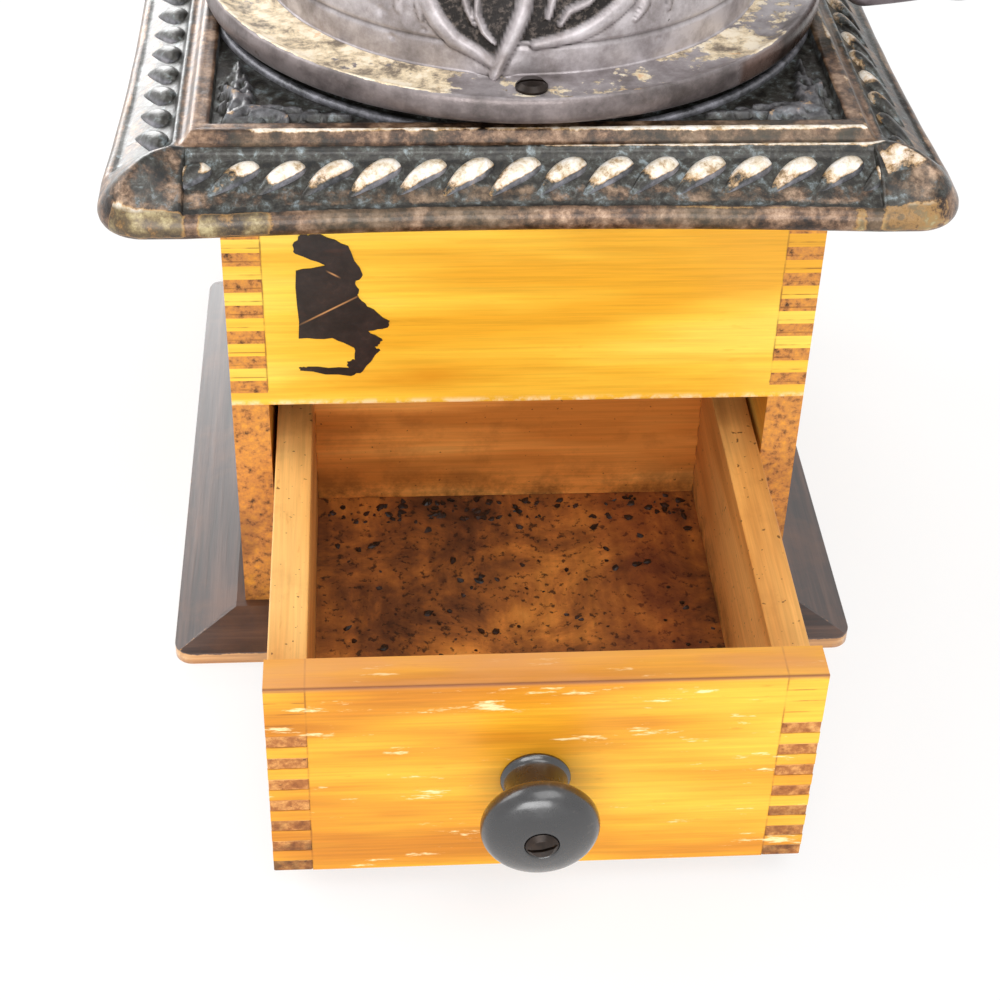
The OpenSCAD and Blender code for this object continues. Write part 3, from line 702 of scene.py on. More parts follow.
def bend(start, turn_from, turn_to, length, steps=9):
    """A path that leaves start and turns steadily from one heading to another, in degrees."""
    path, (x, y) = [start], start
    for i in range(steps):
        heading = math.radians(turn_from + (turn_to - turn_from) * (i + 0.5) / steps)
        x, y = x + length / steps * math.cos(heading), y + length / steps * math.sin(heading)
        path.append((x, y))
    return path


# Strokes of one half of the ornament, in a frame with its origin at the field's
# outer corner: X runs along the front edge towards the middle, Y inwards. Each
# has its start, two headings and length, then its width and height.
leaf_strokes = [
    ((3.0, 3.2), 12, -4, 30, 1.5, 1.5), ((4.5, 4.0), 75, -60, 12.5, 2.2, 2.4),
    ((10.5, 4.2), 95, -40, 9.5, 1.9, 2.1), ((16.0, 4.4), 95, -30, 7.5, 1.6, 1.9),
    ((21.5, 4.2), 90, -20, 5.8, 1.4, 1.6), ((26.5, 3.8), 80, -10, 4.2, 1.2, 1.3),
    ((9.5, 1.9), 10, 40, 3.0, 1.2, 1.5), ((15.0, 1.9), 10, 40, 2.6, 1.1, 1.4),
    ((20.3, 1.9), 10, 40, 2.4, 1.0, 1.2), ((5.0, 9.5), 60, 150, 9.5, 2.3, 2.6),
    ((9.0, 13.5), 140, 330, 8.0, 1.4, 2.2),
]
step = 0.62
field_reach = 56.0
count = int(field_reach / step) + 1
axis = np.arange(count) * step
gx, gy = np.meshgrid(axis, axis, indexing="ij")
relief = np.zeros_like(gx)
for *course, wide, high in leaf_strokes:
    for along, inward in ((gx, gy), (gy, gx)):
        relief = np.maximum(relief, stroke_height(along, inward, bend(*course), wide, high))
relief *= ease(0.0, 0.9, gx) * ease(0.0, 0.9, gy)
field_half, flange_gap = 75.45, 73.8
edge_x, edge_y = field_half - gx, field_half - gy
from_middle = np.hypot(edge_x, edge_y)
relief *= ease(81.2, 82.4, from_middle)
keep = from_middle > flange_gap
for quarter in range(4):
    number = -np.ones(gx.shape, int)
    for i, j in np.argwhere(keep):
        number[i, j] = len(points)
        rise = relief[i, j]
        stand(*spun(edge_x[i, j], -edge_y[i, j], quarter), field + 0.02 + rise,
              ease(1.4, 2.4, rise) * 0.44,
              ease(0.9, 2.0, rise) * 0.34, ease(0.7, 2.0, rise) * 0.6)
    for i in range(count - 1):
        for j in range(count - 1):
            corners = [number[i, j], number[i + 1, j], number[i + 1, j + 1], number[i, j + 1]]
            if min(corners) >= 0:
                faces.append(tuple(int(c) for c in corners))
print("spandrels:", int(keep.sum()) * 4, "points")

# The bead round the flange, and the seat that the hopper stands on.
bead_r, bead_half, bead_rows, bead_steps = 79.0, 1.25, 12, 240
faces += grid_faces(bead_rows + 1, bead_steps, start=len(points))
for row in range(bead_rows + 1):
    turn = math.pi * (1.15 - 1.3 * row / bead_rows)
    height = field + 0.55 + bead_half * math.sin(turn)
    for place in ring(bead_r + bead_half * math.cos(turn), height, bead_steps):
        stand(*place, bare=1.0)
seat_steps, seat_top = 120, field + 3.98
faces += flipped(grid_faces(4, seat_steps, start=len(points)))
for r, height in ((30.0, underside), (30.0, seat_top), (74.6, seat_top), (74.6, field - 0.5)):
    for place in ring(r, height, seat_steps):
        stand(*place)
print("casting with bead and seat:", len(points), "points")

# %% [markdown]
# ### Patina
#
# The casting is iron, plated with brass and then darkened. Years of hands
# have polished the high places back to pale brass; the hollows are still
# black with a cold green-blue cast, and the lip and the frame are a glossy
# brown. Three numbers stored on each point of the mesh say how much of the
# brass, the brown and the bare grey iron shows there, and noise breaks them
# into patches; the brass number also carries painted highlights along the
# frame's crests, the lip's top edge, the right corner and the upper faces of
# the rope's drops. Clear lacquer over it all gives the wet look of the hollows.

# %% Patinated brass on iron
def patina(name):
    """Dark patina with brown, brass and grey iron showing by three stored attributes; the brass one also
    carries painted highlights.
    """
    finish, spot, brass, tan, bare = blank(name, "brass", "brown", "grey")
    x, y, z = axes_of(spot)
    patches, broad = noise(spot, 150, 8, 0.72), noise(spot, 26, 4, 0.6)
    streaks, grit = noise(spot, 330, 6, 0.72, 0.3), noise(spot, 900, 4, 0.7)
    dark = ramp(streaks, (0.36, "#0D0E0D"), (0.47, "#27231D"), (0.56, "#43443F"), (0.68, "#7C868A"))
    warm = ramp(patches, (0.38, "#20150D"), (0.46, "#4C3626"), (0.54, "#7E614A"), (0.66, "#B89A80"))
    iron = ramp(patches, (0.38, "#3F4043"), (0.62, "#94939B"))
    pale = ramp(streaks, (0.36, "#A78B68"), (0.43, "#D3C3AA"), (0.52, "#EADFD0"), (0.62, "#F8F3EC"))
    # Low down on the lip the gilding is duller, and stained.
    stained = ramp(patches, (0.42, "#33271A"), (0.49, "#5E4D32"), (0.56, "#83714C"), (0.66, "#B8A97E"))
    pale = blend(remap(z, 151 * MM, 149.5 * MM), pale, stained)
    brown_share = remap(plus(tan, swing(patches, 0.5, 1.3)), 0.36, 0.66)
    colour = over(dark, (warm, brown_share), ("#3B3826", remap(broad, 0.52, 0.62, 0, 0.5), brown_share),
                  (iron, bare, remap(streaks, 0.3, 0.6, 0.55)))
    # Brass patches, with the painted highlights among them: the attribute raises the noise over its
    # threshold. Hardly any is left on the left side, and less on the right than in front. The drops at
    # both ends of the front moulding are worn brown where they meet the corners.
    left = times(remap(x, -82 * MM, -85 * MM), remap(y, -92 * MM, -88 * MM))
    right = times(remap(x, 84 * MM, 87 * MM), remap(y, -88 * MM, -80 * MM))
    ends = times(band(size_of(x), 79, 3.2), remap(y, -84.5 * MM, -86 * MM))
    away = plus(plus(left, times(right, 0.45)), times(ends, 0.9))
    lift = plus(plus(times(brass, 0.62), swing(patches, 0.5, 1.15)), swing(broad, 0.5, 0.9))
    lift = minus(lift, times(away, 0.55))
    brass_and_highlight_share = remap(lift, 0.3, 0.4)
    # The edge of each patch is chipped back to tan.
    pale = blend(remap(lift, 0.36, 0.5, 0.85, 0), pale, "#B98C4E")
    colour = blend(brass_and_highlight_share, colour, pale)
    flaked = bumps(brass_and_highlight_share, 0.5, 0.3, bumps(streaks, 0.6, 0.4))
    return shaded(finish, colour, remap(patches, 0.35, 0.7, 0.3, 0.5), bumps(grit, 0.25, 0.1, flaked), {
        "Metallic": remap(brass_and_highlight_share, 0, 1, 0.45, 0.2), "Coat Weight": 0.35, "Coat Roughness": 0.2})


cast_patina = patina("patinated_brass_on_iron")
top = piece("cast_top", points, faces, "case", "patinated_top", cast_patina)
assert len(top.data.vertices) == len(cream)
store(top, brass=cream, brown=brown, grey=grey)
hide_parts("top_plate")

# %% [markdown]
# ### Rope moulding
#
# Each sloping side carries sixteen slanted beads, the rope moulding, of which
# the first and last sink into the corners. They all have the same shape, a
# drop with a round head up by the frame and a tail that runs out at the lip,
# so one drop is modelled and Geometry Nodes lay it along the four sides. The
# line of drops bends with the side it lies on. The upper face of a drop keeps
# its gilding, which also serves as a painted highlight on that face, and the
# steep face under it is bare.

# %% One drop of the rope
def rope_drop():
    """A drop, tail at -X and head at +X, lying on the plane Z = 0."""
    rows, around = 18, 16
    shape, gilt_and_highlight, bare = [], [], []
    for i in range(rows):
        t = i / (rows - 1)
        x = -8.6 + 15.8 * t
        head = math.sqrt(max(0.0, 1 - max(0.0, (t - 0.72) / 0.28) ** 2))
        half_wide = 2.8 * (0.2 + 0.84 * math.sin(math.pi / 2 * min(1, t / 0.72)) ** 1.1) * head
        high = 2.7 * (0.12 + 0.88 * math.sin(math.pi / 2 * min(1, t / 0.6))) * head ** 0.8
        bow = 0.9 * math.sin(math.pi * t) - 0.3
        for j in range(around):
            a = math.pi * j / (around - 1)
            y = bow + half_wide * math.cos(a) + 0.45 * head * math.sin(a)
            shape.append((x * MM, y * MM, (high * math.sin(a) - 0.4) * MM))
            # The upper face gets pale gilding that is also a painted highlight; the steep face is bare
            # grey iron.
            top_face = 1 - ease(0.70, 0.80, a / math.pi)
            gilt_and_highlight.append(top_face * (0.2 + 0.72 * min(1, 1.5 * t)))
            bare.append(1 - top_face)
    made = shaped("rope_drop", shape, flipped(grid_faces(rows, around, closed=False)), linked=False)
    store(made, brass=gilt_and_highlight, brown=[0.35 - 0.3 * g for g in gilt_and_highlight], grey=bare)
    return made


drop = rope_drop()
print("one drop:", len(drop.data.polygons), "faces")

# %% Helpers for Geometry Nodes
def group(name, inputs):
    """An empty Geometry Nodes tree with its inputs."""
    tree = bpy.data.node_groups.new(name, "GeometryNodeTree")
    for key, value in inputs.items():
        kind = "NodeSocketInt" if isinstance(value, int) else "NodeSocketFloat"
        tree.interface.new_socket(key, in_out="INPUT", socket_type=kind).default_value = value
    tree.interface.new_socket("Geometry", in_out="OUTPUT", socket_type="NodeSocketGeometry")
    return tree, add(tree, "NodeGroupInput").outputs


def vector(x=0, y=0, z=0):
    """A vector of three numbers or outputs."""
    return add(tree_of(x, y, z), "ShaderNodeCombineXYZ", {"X": x, "Y": y, "Z": z}).outputs[0]


def rotation(x=0, y=0, z=0):
    """A turn by three angles."""
    turn = vector(x, y, z)
    return add(turn.id_data, "FunctionNodeEulerToRotation", {"Euler": turn}).outputs[0]


def hand_over(tree, instances, finish):
    """Ends a tree with real geometry in a finish."""
    solid = add(tree, "GeometryNodeRealizeInstances", {"Geometry": instances})
    coated = add(tree, "GeometryNodeSetMaterial", {"Geometry": solid, "Material": finish})
    add(tree, "NodeGroupOutput", {"Geometry": coated})
    return tree


def grown(name, tree, body):
    """Runs a Geometry Nodes tree, and keeps the result as a plain mesh."""
    holder = shaped(name, [], [])
    holder.data.name += "_seed"
    modifier = holder.modifiers.new("maker", "NODES")
    modifier.node_group = tree
    bpy.context.view_layer.update()
    graph = bpy.context.evaluated_depsgraph_get()
    mesh = bpy.data.meshes.new_from_object(holder.evaluated_get(graph))
    holder.modifiers.remove(modifier)
    holder.data = mesh
    mesh.name = name
    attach(holder, body)
    print(name, len(mesh.vertices), "points,", [round(v, 4) for v in holder.dimensions])
    return holder


# %% Rope laid along the four sides
def rope_tree(drop, finish):
    """Lays the drop along one bowed side, then turns it to all four."""
    tree, given = group("rope_moulding", {
        "Drops": 16, "Pitch": 10.9 * MM, "Distance": 90.2 * MM, "Height": 151.9 * MM, "Bow": 0.9 * MM,
        "Tilt": math.radians(28.5), "Slant": math.radians(38.0), "Shift": 1.2 * MM,
    })
    span = times(minus(given["Drops"], 1), given["Pitch"])
    line = add(tree, "GeometryNodeMeshLine", {
        "Count": given["Drops"], "Start Location": vector(plus(times(span, -0.5), given["Shift"])),
        "Offset": vector(given["Pitch"]),
    })
    x = axes_of(add(tree, "GeometryNodeInputPosition"))[0]
    share = sum_up("DIVIDE", x, panel_end * MM)
    bow = times(given["Bow"], minus(1, times(share, share)))
    bent = vector(x, minus(bow, given["Distance"]), given["Height"])
    row = add(tree, "GeometryNodeSetPosition", {"Geometry": line, "Position": bent})
    source = add(tree, "GeometryNodeObjectInfo", {"Object": drop})
    both = add(tree, "FunctionNodeRotateRotation", {
        "Rotation": rotation(z=given["Slant"]), "Rotate By": rotation(x=given["Tilt"]),
    }, rotation_space="GLOBAL")
    size = add(tree, "FunctionNodeRandomValue", {
        "Min": (0.96, 0.92, 0.9), "Max": (1.03, 1.06, 1.08), "Seed": 5}, data_type="FLOAT_VECTOR")
    side = add(tree, "GeometryNodeInstanceOnPoints", {
        "Points": row, "Instance": source.outputs["Geometry"], "Rotation": both,
        "Scale": size.outputs["Value"],
    })
    around = rotation(z=times(add(tree, "GeometryNodeInputIndex"), math.pi / 2))
    sides = add(tree, "GeometryNodeInstanceOnPoints", {
        "Points": add(tree, "GeometryNodePoints", {"Count": 4}), "Instance": side, "Rotation": around,
    })
    return hand_over(tree, sides, finish)


rope = grown("rope_moulding", rope_tree(drop, cast_patina), "case")
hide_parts("top_plate")
bpy.data.objects.remove(drop)

# %% [markdown]
# ## The hopper
#
# The hopper is an iron casting too: a flat flange, a dome that holds the
# beans, and a deck with the filling hole behind the spindle. Its relief is
# worked out in the same way as the spandrels, only the flat net is wrapped
# round the dome: one direction is the angle, the other the height above the
# flange. One ornament is drawn and repeated at each quarter turn: a stem, a
# border band that grows from its foot, flame-like leaves inside the border on
# a stippled ground, and a plain line that runs round the foot.

# %% Relief round the dome
foot, deck = 166.2, 214.0
turns = 680
angles = np.arange(turns) * 360.0 / turns
rises = np.concatenate([np.linspace(0, 36, 74), np.linspace(36, 58.5, 20)[1:]])
quarter_angle = (angles + 97.0 + 45.0) % 90.0 - 45.0
to_mm = 65.0 * math.pi / 180
flat_x, flat_y = np.meshgrid(quarter_angle * to_mm, rises, indexing="xy")


def dome_stroke(path, wide, high):
    """Height of a stroke whose path is (angle from the stem, height) pairs."""
    return stroke_height(flat_x, flat_y, [(a * to_mm, h) for a, h in path], wide, high)


stem = [(-0.6, -1), (0.6, 3), (3.0, 9), (5.2, 16), (6.4, 24), (6.6, 33), (6.2, 44), (6.0, 52)]
ornament = [
    # The border bands.
    ([(-1.2, 3.4), (-4.4, 5.4), (-9.2, 8.0), (-12.8, 12.2), (-15.4, 16.6), (-17.2, 23), (-15.4, 31),
      (-9.0, 38), (0.0, 44)], 3.0, 1.2),
    ([(8.0, 7.8), (13.0, 8.8), (17.2, 9.9), (21.2, 11.9), (24.6, 14.2), (28.2, 17.0), (30.6, 23.5),
      (29.6, 31), (24.0, 38), (13.0, 44)], 2.8, 1.2),
    # The flames between them.
    ([(-7.4, 19.5), (-6.4, 16), (-4.8, 12.2)], 1.1, 1.3),
    ([(-4.2, 20.5), (-4.4, 15), (-2.6, 10.6), (-0.4, 8.0)], 1.2, 1.5),
    ([(-9.6, 28), (-8.2, 23), (-3.0, 20), (0.6, 22)], 1.3, 1.4),
    ([(-6.0, 35), (-7.0, 30), (-2.0, 27), (1.6, 29)], 1.4, 1.3),
    ([(13.0, 12.6), (15.0, 16.0), (19.0, 17.6), (22.6, 21.0)], 1.4, 1.4),
    ([(10.6, 14.5), (11.6, 20.0), (17.0, 23.0), (20.0, 28.0)], 1.5, 1.5),
    ([(24.6, 18.6), (26.0, 24.0), (23.0, 29.0), (18.0, 31.0)], 1.3, 1.2),
    ([(10.2, 24.5), (11.8, 30.0), (15.0, 33.0)], 1.3, 1.2),
    # Small leaves outside the border.
    ([(-17.6, 17.0), (-16.2, 11.6)], 1.3, 0.8), ([(-22.6, 16.5), (-21.6, 12.4)], 1.2, 0.8),
    ([(-26.5, 24.0), (-23.0, 21.0), (-19.0, 22.0)], 1.6, 1.0),
    ([(34.0, 20.0), (32.4, 14.6), (30.0, 11.6)], 1.5, 0.9),
    ([(39.0, 17.0), (38.4, 12.2)], 1.3, 0.9), ([(42.0, 27.0), (38.0, 23.0), (35.0, 26.0)], 1.6, 1.0),
]
inside = np.zeros_like(flat_x)
for row, rise in enumerate(rises):
    left_edge = np.interp(rise, [3, 8.2, 12.2, 16.6, 23, 31, 38, 44],
                          [0, -9.2, -12.8, -15.4, -17.2, -15.4, -9, 0])
    right_edge = np.interp(rise, [4.5, 8.5, 9.9, 11.9, 14.2, 17, 23.5, 31, 38, 44],
                           [0, 6, 17.2, 21.2, 24.6, 28.2, 30.6, 29.6, 24, 12])
    if 4.5 < rise < 43:
        inside[row] = ease(left_edge + 0.4, left_edge + 1.6, quarter_angle) \
            * ease(-right_edge + 0.4, -right_edge + 1.6, -quarter_angle)
stem_height = dome_stroke(stem, 2.5, 2.3)
foot_flare = 1.6 * np.exp(-((flat_x + 0.4) / 4.6) ** 2) * (1 - ease(0.5, 5.5, flat_y))
raised = np.zeros_like(flat_x)
for stroke in ornament:
    raised = np.maximum(raised, dome_stroke(*stroke))
ground = inside * (1 - ease(0.0, 0.7, raised)) * (1 - ease(0.0, 0.9, stem_height))
# Dirt also lies in a thin line along the foot of everything that stands out.
rim = np.maximum(raised, 0.6 * stem_height)
foot_line = (1 - inside) * ease(0.01, 0.1, rim) * (1 - ease(0.16, 0.5, rim))
body = np.maximum(raised - 0.6 * ground, stem_height)
body += foot_flare
line = np.exp(-((flat_y - 7.3) / 0.45) ** 2) * (1 - inside) * (1 - ease(0.1, 0.8, raised)) \
    * (1 - ease(0.2, 1.0, stem_height))
body -= 0.45 * line
# A star-shaped dent and a few casting pits.
dents = ((-26.0, 11.6, 2.3), (-22.8, 5.6, 1.1), (-15.6, 9.2, 0.8), (30.6, 13.4, 1.3), (36.0, 5.0, 0.7))
for angle, rise, size in dents:
    px, py = flat_x - angle * to_mm, flat_y - rise
    ray = 0.45 + 0.55 * np.abs(np.cos(2.5 * np.arctan2(py, px))) ** 3 if size > 2 else 1.0
    body -= 0.7 * np.clip(1 - np.hypot(px, py) / (size * ray), 0, 1)
body *= 1 - ease(44, 50, flat_y)
print("dome relief", body.shape, "from", round(float(body.min()), 2), "to", round(float(body.max()), 2))

# %% Dome, flange and deck as one closed casting
# A dome is a quarter of an ellipse: how far out its centre lies, and its two half axes.
outer_dome, inner_dome = (42, 23.5, 47.8), (41, 21.5, 44.8)


def on_dome(dome, phi):
    """Radius and height on a dome, from its foot at 0 to its top at a right angle."""
    centre, out, high = dome
    return centre + out * math.cos(phi), foot + high * math.sin(phi)


arc_angles = np.linspace(0, math.pi / 2, 400)
arc_r, arc_z = np.array([on_dome(outer_dome, phi) for phi in arc_angles]).T
lengths = np.concatenate([[0], np.cumsum(np.hypot(np.diff(arc_r), np.diff(arc_z)))])
dome_phis = np.interp(rises * lengths[-1] / rises[-1], lengths, arc_angles)
section = [("deck", r, deck) for r in (8.0, 14.0, 20.0, 28.0, 36.0, 39.5)]
section += [(k, *on_dome(outer_dome, dome_phis[k])) for k in reversed(range(len(rises)))]
section += [("flange", r, z) for r, z in (
    (66.2, 166.15), (68.5, 166.2), (71.0, 166.2), (74.0, 166.25), (76.6, 166.4), (78.0, 166.8),
    (79.2, 167.5), (79.9, 167.9), (80.4, 168.0), (80.8, 167.8), (81.15, 167.3), (81.4, 166.5),
    (81.5, 165.4), (81.5, 164.2), (81.4, 163.0), (81.1, 162.0), (80.7, 161.3), (80.0, 161.0),
    (62.5, 161.0))]
section += [("wall", *on_dome(inner_dome, math.pi / 2 * k / 12)) for k in range(13)]
section += [("under", r, deck - 3) for r in (36.0, 28.0, 20.0, 14.0, 8.0)]


def flange_wear(angle, r, z):
    """Paint, dirt and enamel on the flange."""
    turn = (angle + 180) % 360 - 180
    top_side = 1 - ease(80.3, 81.3, r) if z > 166 else 0.0
    # Old cream paint clings to the left and front of the flange and thins out to the right.
    arc = 0.92 * ease(-200, -172, turn) * (1 - ease(-112, -90, turn))
    tail = 0.5 + 0.22 * math.exp(-((turn + 38) / 9) ** 2) - 0.3 * ease(-26, -10, turn)
    p = top_side * max(arc, tail if turn < 0 else 0.3)
    n = (1 - top_side) * max(0.5, ease(-53, -50, turn) * (1 - ease(-24, -10, turn)))
    return p, 0.72 * (1 - top_side) * (1 - n) + 0.15 * top_side, n


points, wear = [], []
for part, r0, z0 in section:
    for c, angle in enumerate(angles):
        a = math.radians(angle)
        r, z, shares = r0, z0, (0.0, 0.0, 0.0)
        if part == "flange":
            shares = flange_wear(angle, r, z)
            if 67 < r < 77 and z > 166:
                z += 0.12 * math.sin(angle * 0.9) * math.sin(angle * 0.31 + r)
        elif isinstance(part, int):
            h, phi = body[part, c], dome_phis[part]
            nx, nz = math.cos(phi) / outer_dome[1], math.sin(phi) / outer_dome[2]
            long = math.hypot(nx, nz)
            r, z = r + h * nx / long, z + h * nz / long
            shares = (0.0, ground[part, c] + 0.5 * line[part, c] + 0.6 * foot_line[part, c], 0.0)
        points.append((r * math.cos(a), r * math.sin(a), z))
        wear.append(shares)
faces = []


def quad(*corners):
    """One face of the hopper from (row, column) pairs."""
    faces.append(tuple(row * turns + column % turns for row, column in corners))


# The filling hole lies between rows 1 and 4 of the deck, and goes through to the same rows from below.
total, hole = len(section), range(int(40 / 360 * turns), int(140 / 360 * turns))
for row in range(total):
    below = (row + 1) % total
    for c in range(turns):
        if c not in hole or not (1 <= row <= 3 or total - 5 <= row <= total - 3):
            quad((row, c), (below, c), (below, c + 1), (row, c + 1))
for c in hole:
    quad((1, c + 1), (1, c), (total - 2, c), (total - 2, c + 1))
    quad((4, c), (4, c + 1), (total - 5, c + 1), (total - 5, c))
first, last = hole[0], hole[-1] + 1
for row in (1, 2, 3):
    up, down = total - 1 - row, total - 2 - row
    quad((row, first), (row + 1, first), (down, first), (up, first))
    quad((row + 1, last), (row, last), (up, last), (down, last))
print("hopper", len(points), "points,", len(faces), "faces")

# %% [markdown]
# ### Bare iron and flaking paint
#
# The dome is bare grey iron, rubbed smooth, with dark dirt in its hollows.
# On the flange there are flakes of an old cream paint with yellow edges, and
# on the right a stretch of brown enamel on its rim. Three numbers stored on
# the points say where each of them is.

# %% Hopper iron
def hopper_iron():
    """Rubbed grey iron with dirt, cream paint flakes and brown enamel."""
    finish, spot, painted, hollow, glaze = blank("rubbed_grey_iron", "paint", "dirt", "enamel")
    patches, broad, grit = noise(spot, 110, 7, 0.66), noise(spot, 48, 8, 0.7), noise(spot, 750, 4, 0.7)
    iron = ramp(broad, (0.36, "#7A7270"), (0.48, "#A1999A"), (0.6, "#C6BFC1"))
    rusty = remap(patches, 0.56, 0.72, 0, 0.4)
    # Pits about 1 mm wide, few and dark.
    pits = add(finish.node_tree, "ShaderNodeTexVoronoi",
               {"Vector": spot, "Scale": 130.0, "Randomness": 1.0})
    few = remap(pits.outputs["Distance"], 0.04, 0.085, 0.7, 0)
    # The ground of the ornament is stippled: dark, with bright worn points.
    deep = blend(remap(grit, 0.5, 0.68), "#1E1917", "#5C524C")
    enamel = ramp(broad, (0.4, "#2E211C"), (0.6, "#6B564E"))
    lift = plus(plus(painted, swing(patches, 0.5, 1.5)), swing(broad, 0.5, 1.6))
    flake = times(remap(lift, 0.62, 0.68), more_than(painted, 0.02))
    cream = ramp(noise(spot, 120, 9, 0.75, 0.2), (0.40, "#7C6F60"), (0.46, "#C2B095"),
                 (0.51, "#E9D5B2"), (0.58, "#FBEED6"))
    cream = over(cream, ("#E0A04E", remap(patches, 0.62, 0.66, 0, 0.5)))
    colour = over(iron, ("#7A6A5E", rusty), ("#3E3733", few, more_than(broad, 0.55)), (deep, hollow),
                  (enamel, glaze), (cream, flake))
    shine = minus(remap(patches, 0.3, 0.7, 0.34, 0.56), times(glaze, 0.18))
    fine = bumps(patches, 0.6, 0.4, bumps(flake, 0.6, 0.5))
    grain = bumps(grit, plus(0.2, times(hollow, 0.7)), 0.2, fine)
    return shaded(finish, colour, shine, grain, {"Metallic": remap(flake, 0, 1, 0.5, 0)})


hopper = piece("hopper_casting", points, faces, "case", "hopper_iron", hopper_iron())
store(hopper, **dict(zip(("paint", "dirt", "enamel"), zip(*wear))))
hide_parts("hopper_dome")

# %% [markdown]
# ## Turned knob
#
# The drawer knob is turned wood with thick black lacquer. A turned shape is
# a profile spun round an axis; here the axis points out of the drawer.

# %% Drawer knob
def turned(profile, place, steps=96):
    """Points and faces of a profile (radius, distance out) spun about -Y at a place."""
    x, y, z = place
    points = [(x + across, y - out, z + up)
              for r, out in profile for across, up, _ in ring(r, 0, steps)]
    return points, flipped(grid_faces(len(profile), steps))


def rounded_profile(corners, steps=6):
    """A smooth line through corner points (Catmull-Rom)."""
    line = []
    for i in range(len(corners) - 1):
        p0, p1, p2, p3 = (corners[max(0, min(len(corners) - 1, i + k))] for k in (-1, 0, 1, 2))
        for s in range(steps):
            t = s / steps
            line.append(tuple(
                0.5 * (2 * b + (c - a) * t + (2 * a - 5 * b + 4 * c - d) * t * t
                       + (3 * b - a - 3 * c + d) * t ** 3)
                for a, b, c, d in zip(p0, p1, p2, p3)))
    return line + [corners[-1]]


def lacquer():
    """Black lacquer on turned wood: glossy, with brown rubbed spots and fine scratches."""
    finish, spot = blank("black_lacquer_on_turned_wood")
    rub = noise(spot, 130, 7, 0.7)
    colour = blend(remap(rub, 0.6, 0.7, 0, 0.5), "#1B1A1C", "#6A6058")
    return shaded(finish, colour, remap(rub, 0.35, 0.7, 0.16, 0.42), bumps(rub, 0.4, 0.3), {
        "Specular IOR Level": 0.8, "Coat Weight": 0.6, "Coat Roughness": 0.12})


knob_place = (-2.0, -172.0, 38.5)
knob_line = [(0.0, 0.0), (8.1, 0.02)] + rounded_profile([
    (8.1, 0.05), (8.3, 0.8), (7.3, 1.8), (6.8, 4.0), (6.8, 7.0), (7.5, 10.0), (9.6, 11.5), (12.2, 12.3),
    (13.5, 13.6), (13.8, 15.2), (13.4, 16.8), (11.9, 18.6), (9.0, 20.0), (6.0, 20.75), (4.4, 20.95),
]) + [(4.0, 20.9), (3.95, 20.1), (0.0, 20.05)]
knob = piece("drawer_knob_turned", *turned(knob_line, knob_place), "drawer", "black_knob", lacquer())
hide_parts("drawer_knob")

# %% [markdown]
# ## Crank arm
#
# The arm is forged flat iron. It leaves the square of the spindle level, bends
# down beside the dome and reaches past the flange to the handle, bowing to
# the front on its way. It is swept here: a small rounded section is carried
# along the curved line and turned with it.

# %% Crank arm
def cubic(p, t):
    """Point on a cubic curve through four handles."""
    return sum(np.array(q, float) * w for q, w in zip(p, (
        (1 - t) ** 3, 3 * (1 - t) ** 2 * t, 3 * (1 - t) * t * t, t ** 3)))


arm_high, arm_low, arm_end = 222.0, 162.4, (116, -10)
arm_plan = [(0, 0), (40, -22.8), (78, -25.2), arm_end]
arm_drop = [(46, arm_high), (66, arm_high), (76.2, arm_low), (89.2, arm_low)]
drop_x, drop_z = np.array([cubic(arm_drop, t) for t in np.linspace(0, 1, 200)]).T
track = []
for t in np.linspace(0, 1, 90):
    x, y = cubic(arm_plan, t)
    track.append(Vector((x, y, np.interp(x, drop_x, drop_z))))
total_run = [0.0]
for a, b in zip(track, track[1:]):
    total_run.append(total_run[-1] + (b - a).length)
wanted = np.linspace(0, total_run[-1], 110)
coords = np.array([list(p) for p in track])
fine_track = np.stack([np.interp(wanted, total_run, coords[:, k]) for k in range(3)], axis=1)
sides = 20
around = []
for i in range(sides):
    a = 2 * math.pi * i / sides
    around.append((6.5 * np.sign(math.cos(a)) * abs(math.cos(a)) ** 0.55,
                   2.5 + 2.5 * np.sign(math.sin(a)) * abs(math.sin(a)) ** 0.7))
points = []
for i, here in enumerate(fine_track):
    ahead = fine_track[min(i + 1, len(fine_track) - 1)] - fine_track[max(i - 1, 0)]
    ahead = Vector(ahead).normalized()
    across = Vector((0, 0, 1)).cross(ahead).normalized()
    out = ahead.cross(across)
    points += [tuple(Vector(here) + across * w + out * h) for w, h in around]
faces = flipped(grid_faces(len(fine_track), sides))
faces += [tuple(range(sides)), tuple(reversed(range(len(points) - sides, len(points))))]


def disc(place, radius, low, high, steps=72):
    """Disc about an upright axis with edges rounded by 1 mm."""
    line = [(0.0, low), (radius - 1, low), (radius - 0.3, low + 0.3), (radius, low + 1),
            (radius, high - 1), (radius - 0.3, high - 0.3), (radius - 1, high), (0.0, high)]
    shape = [(place[0] + x, place[1] + y, z)
             for r, height in line for x, y, z in ring(r, height, steps)]
    return shape, grid_faces(len(line), steps)


def joined(*parts):
    """Several (points, faces) pairs as one."""
    all_points, all_faces = [], []
    for shape, rings in parts:
        start = len(all_points)
        all_points += shape
        all_faces += [tuple(start + v for v in f) for f in rings]
    return all_points, all_faces


def forged_iron(name, tones, shine=(0.28, 0.5), metallic=0.8):
    """Dark forged or cast iron with worn, slightly rusty patches."""
    finish, spot = blank(name)
    patches = noise(spot, 85, 7, 0.68)
    tone = ramp(patches, *zip((0.32, 0.5, 0.68), tones))
    fine = bumps(noise(spot, 800, 3, 0.7), 0.2, 0.1, bumps(patches, 0.4, 0.3))
    return shaded(finish, tone, remap(patches, 0.3, 0.7, *shine), fine, {"Metallic": metallic})


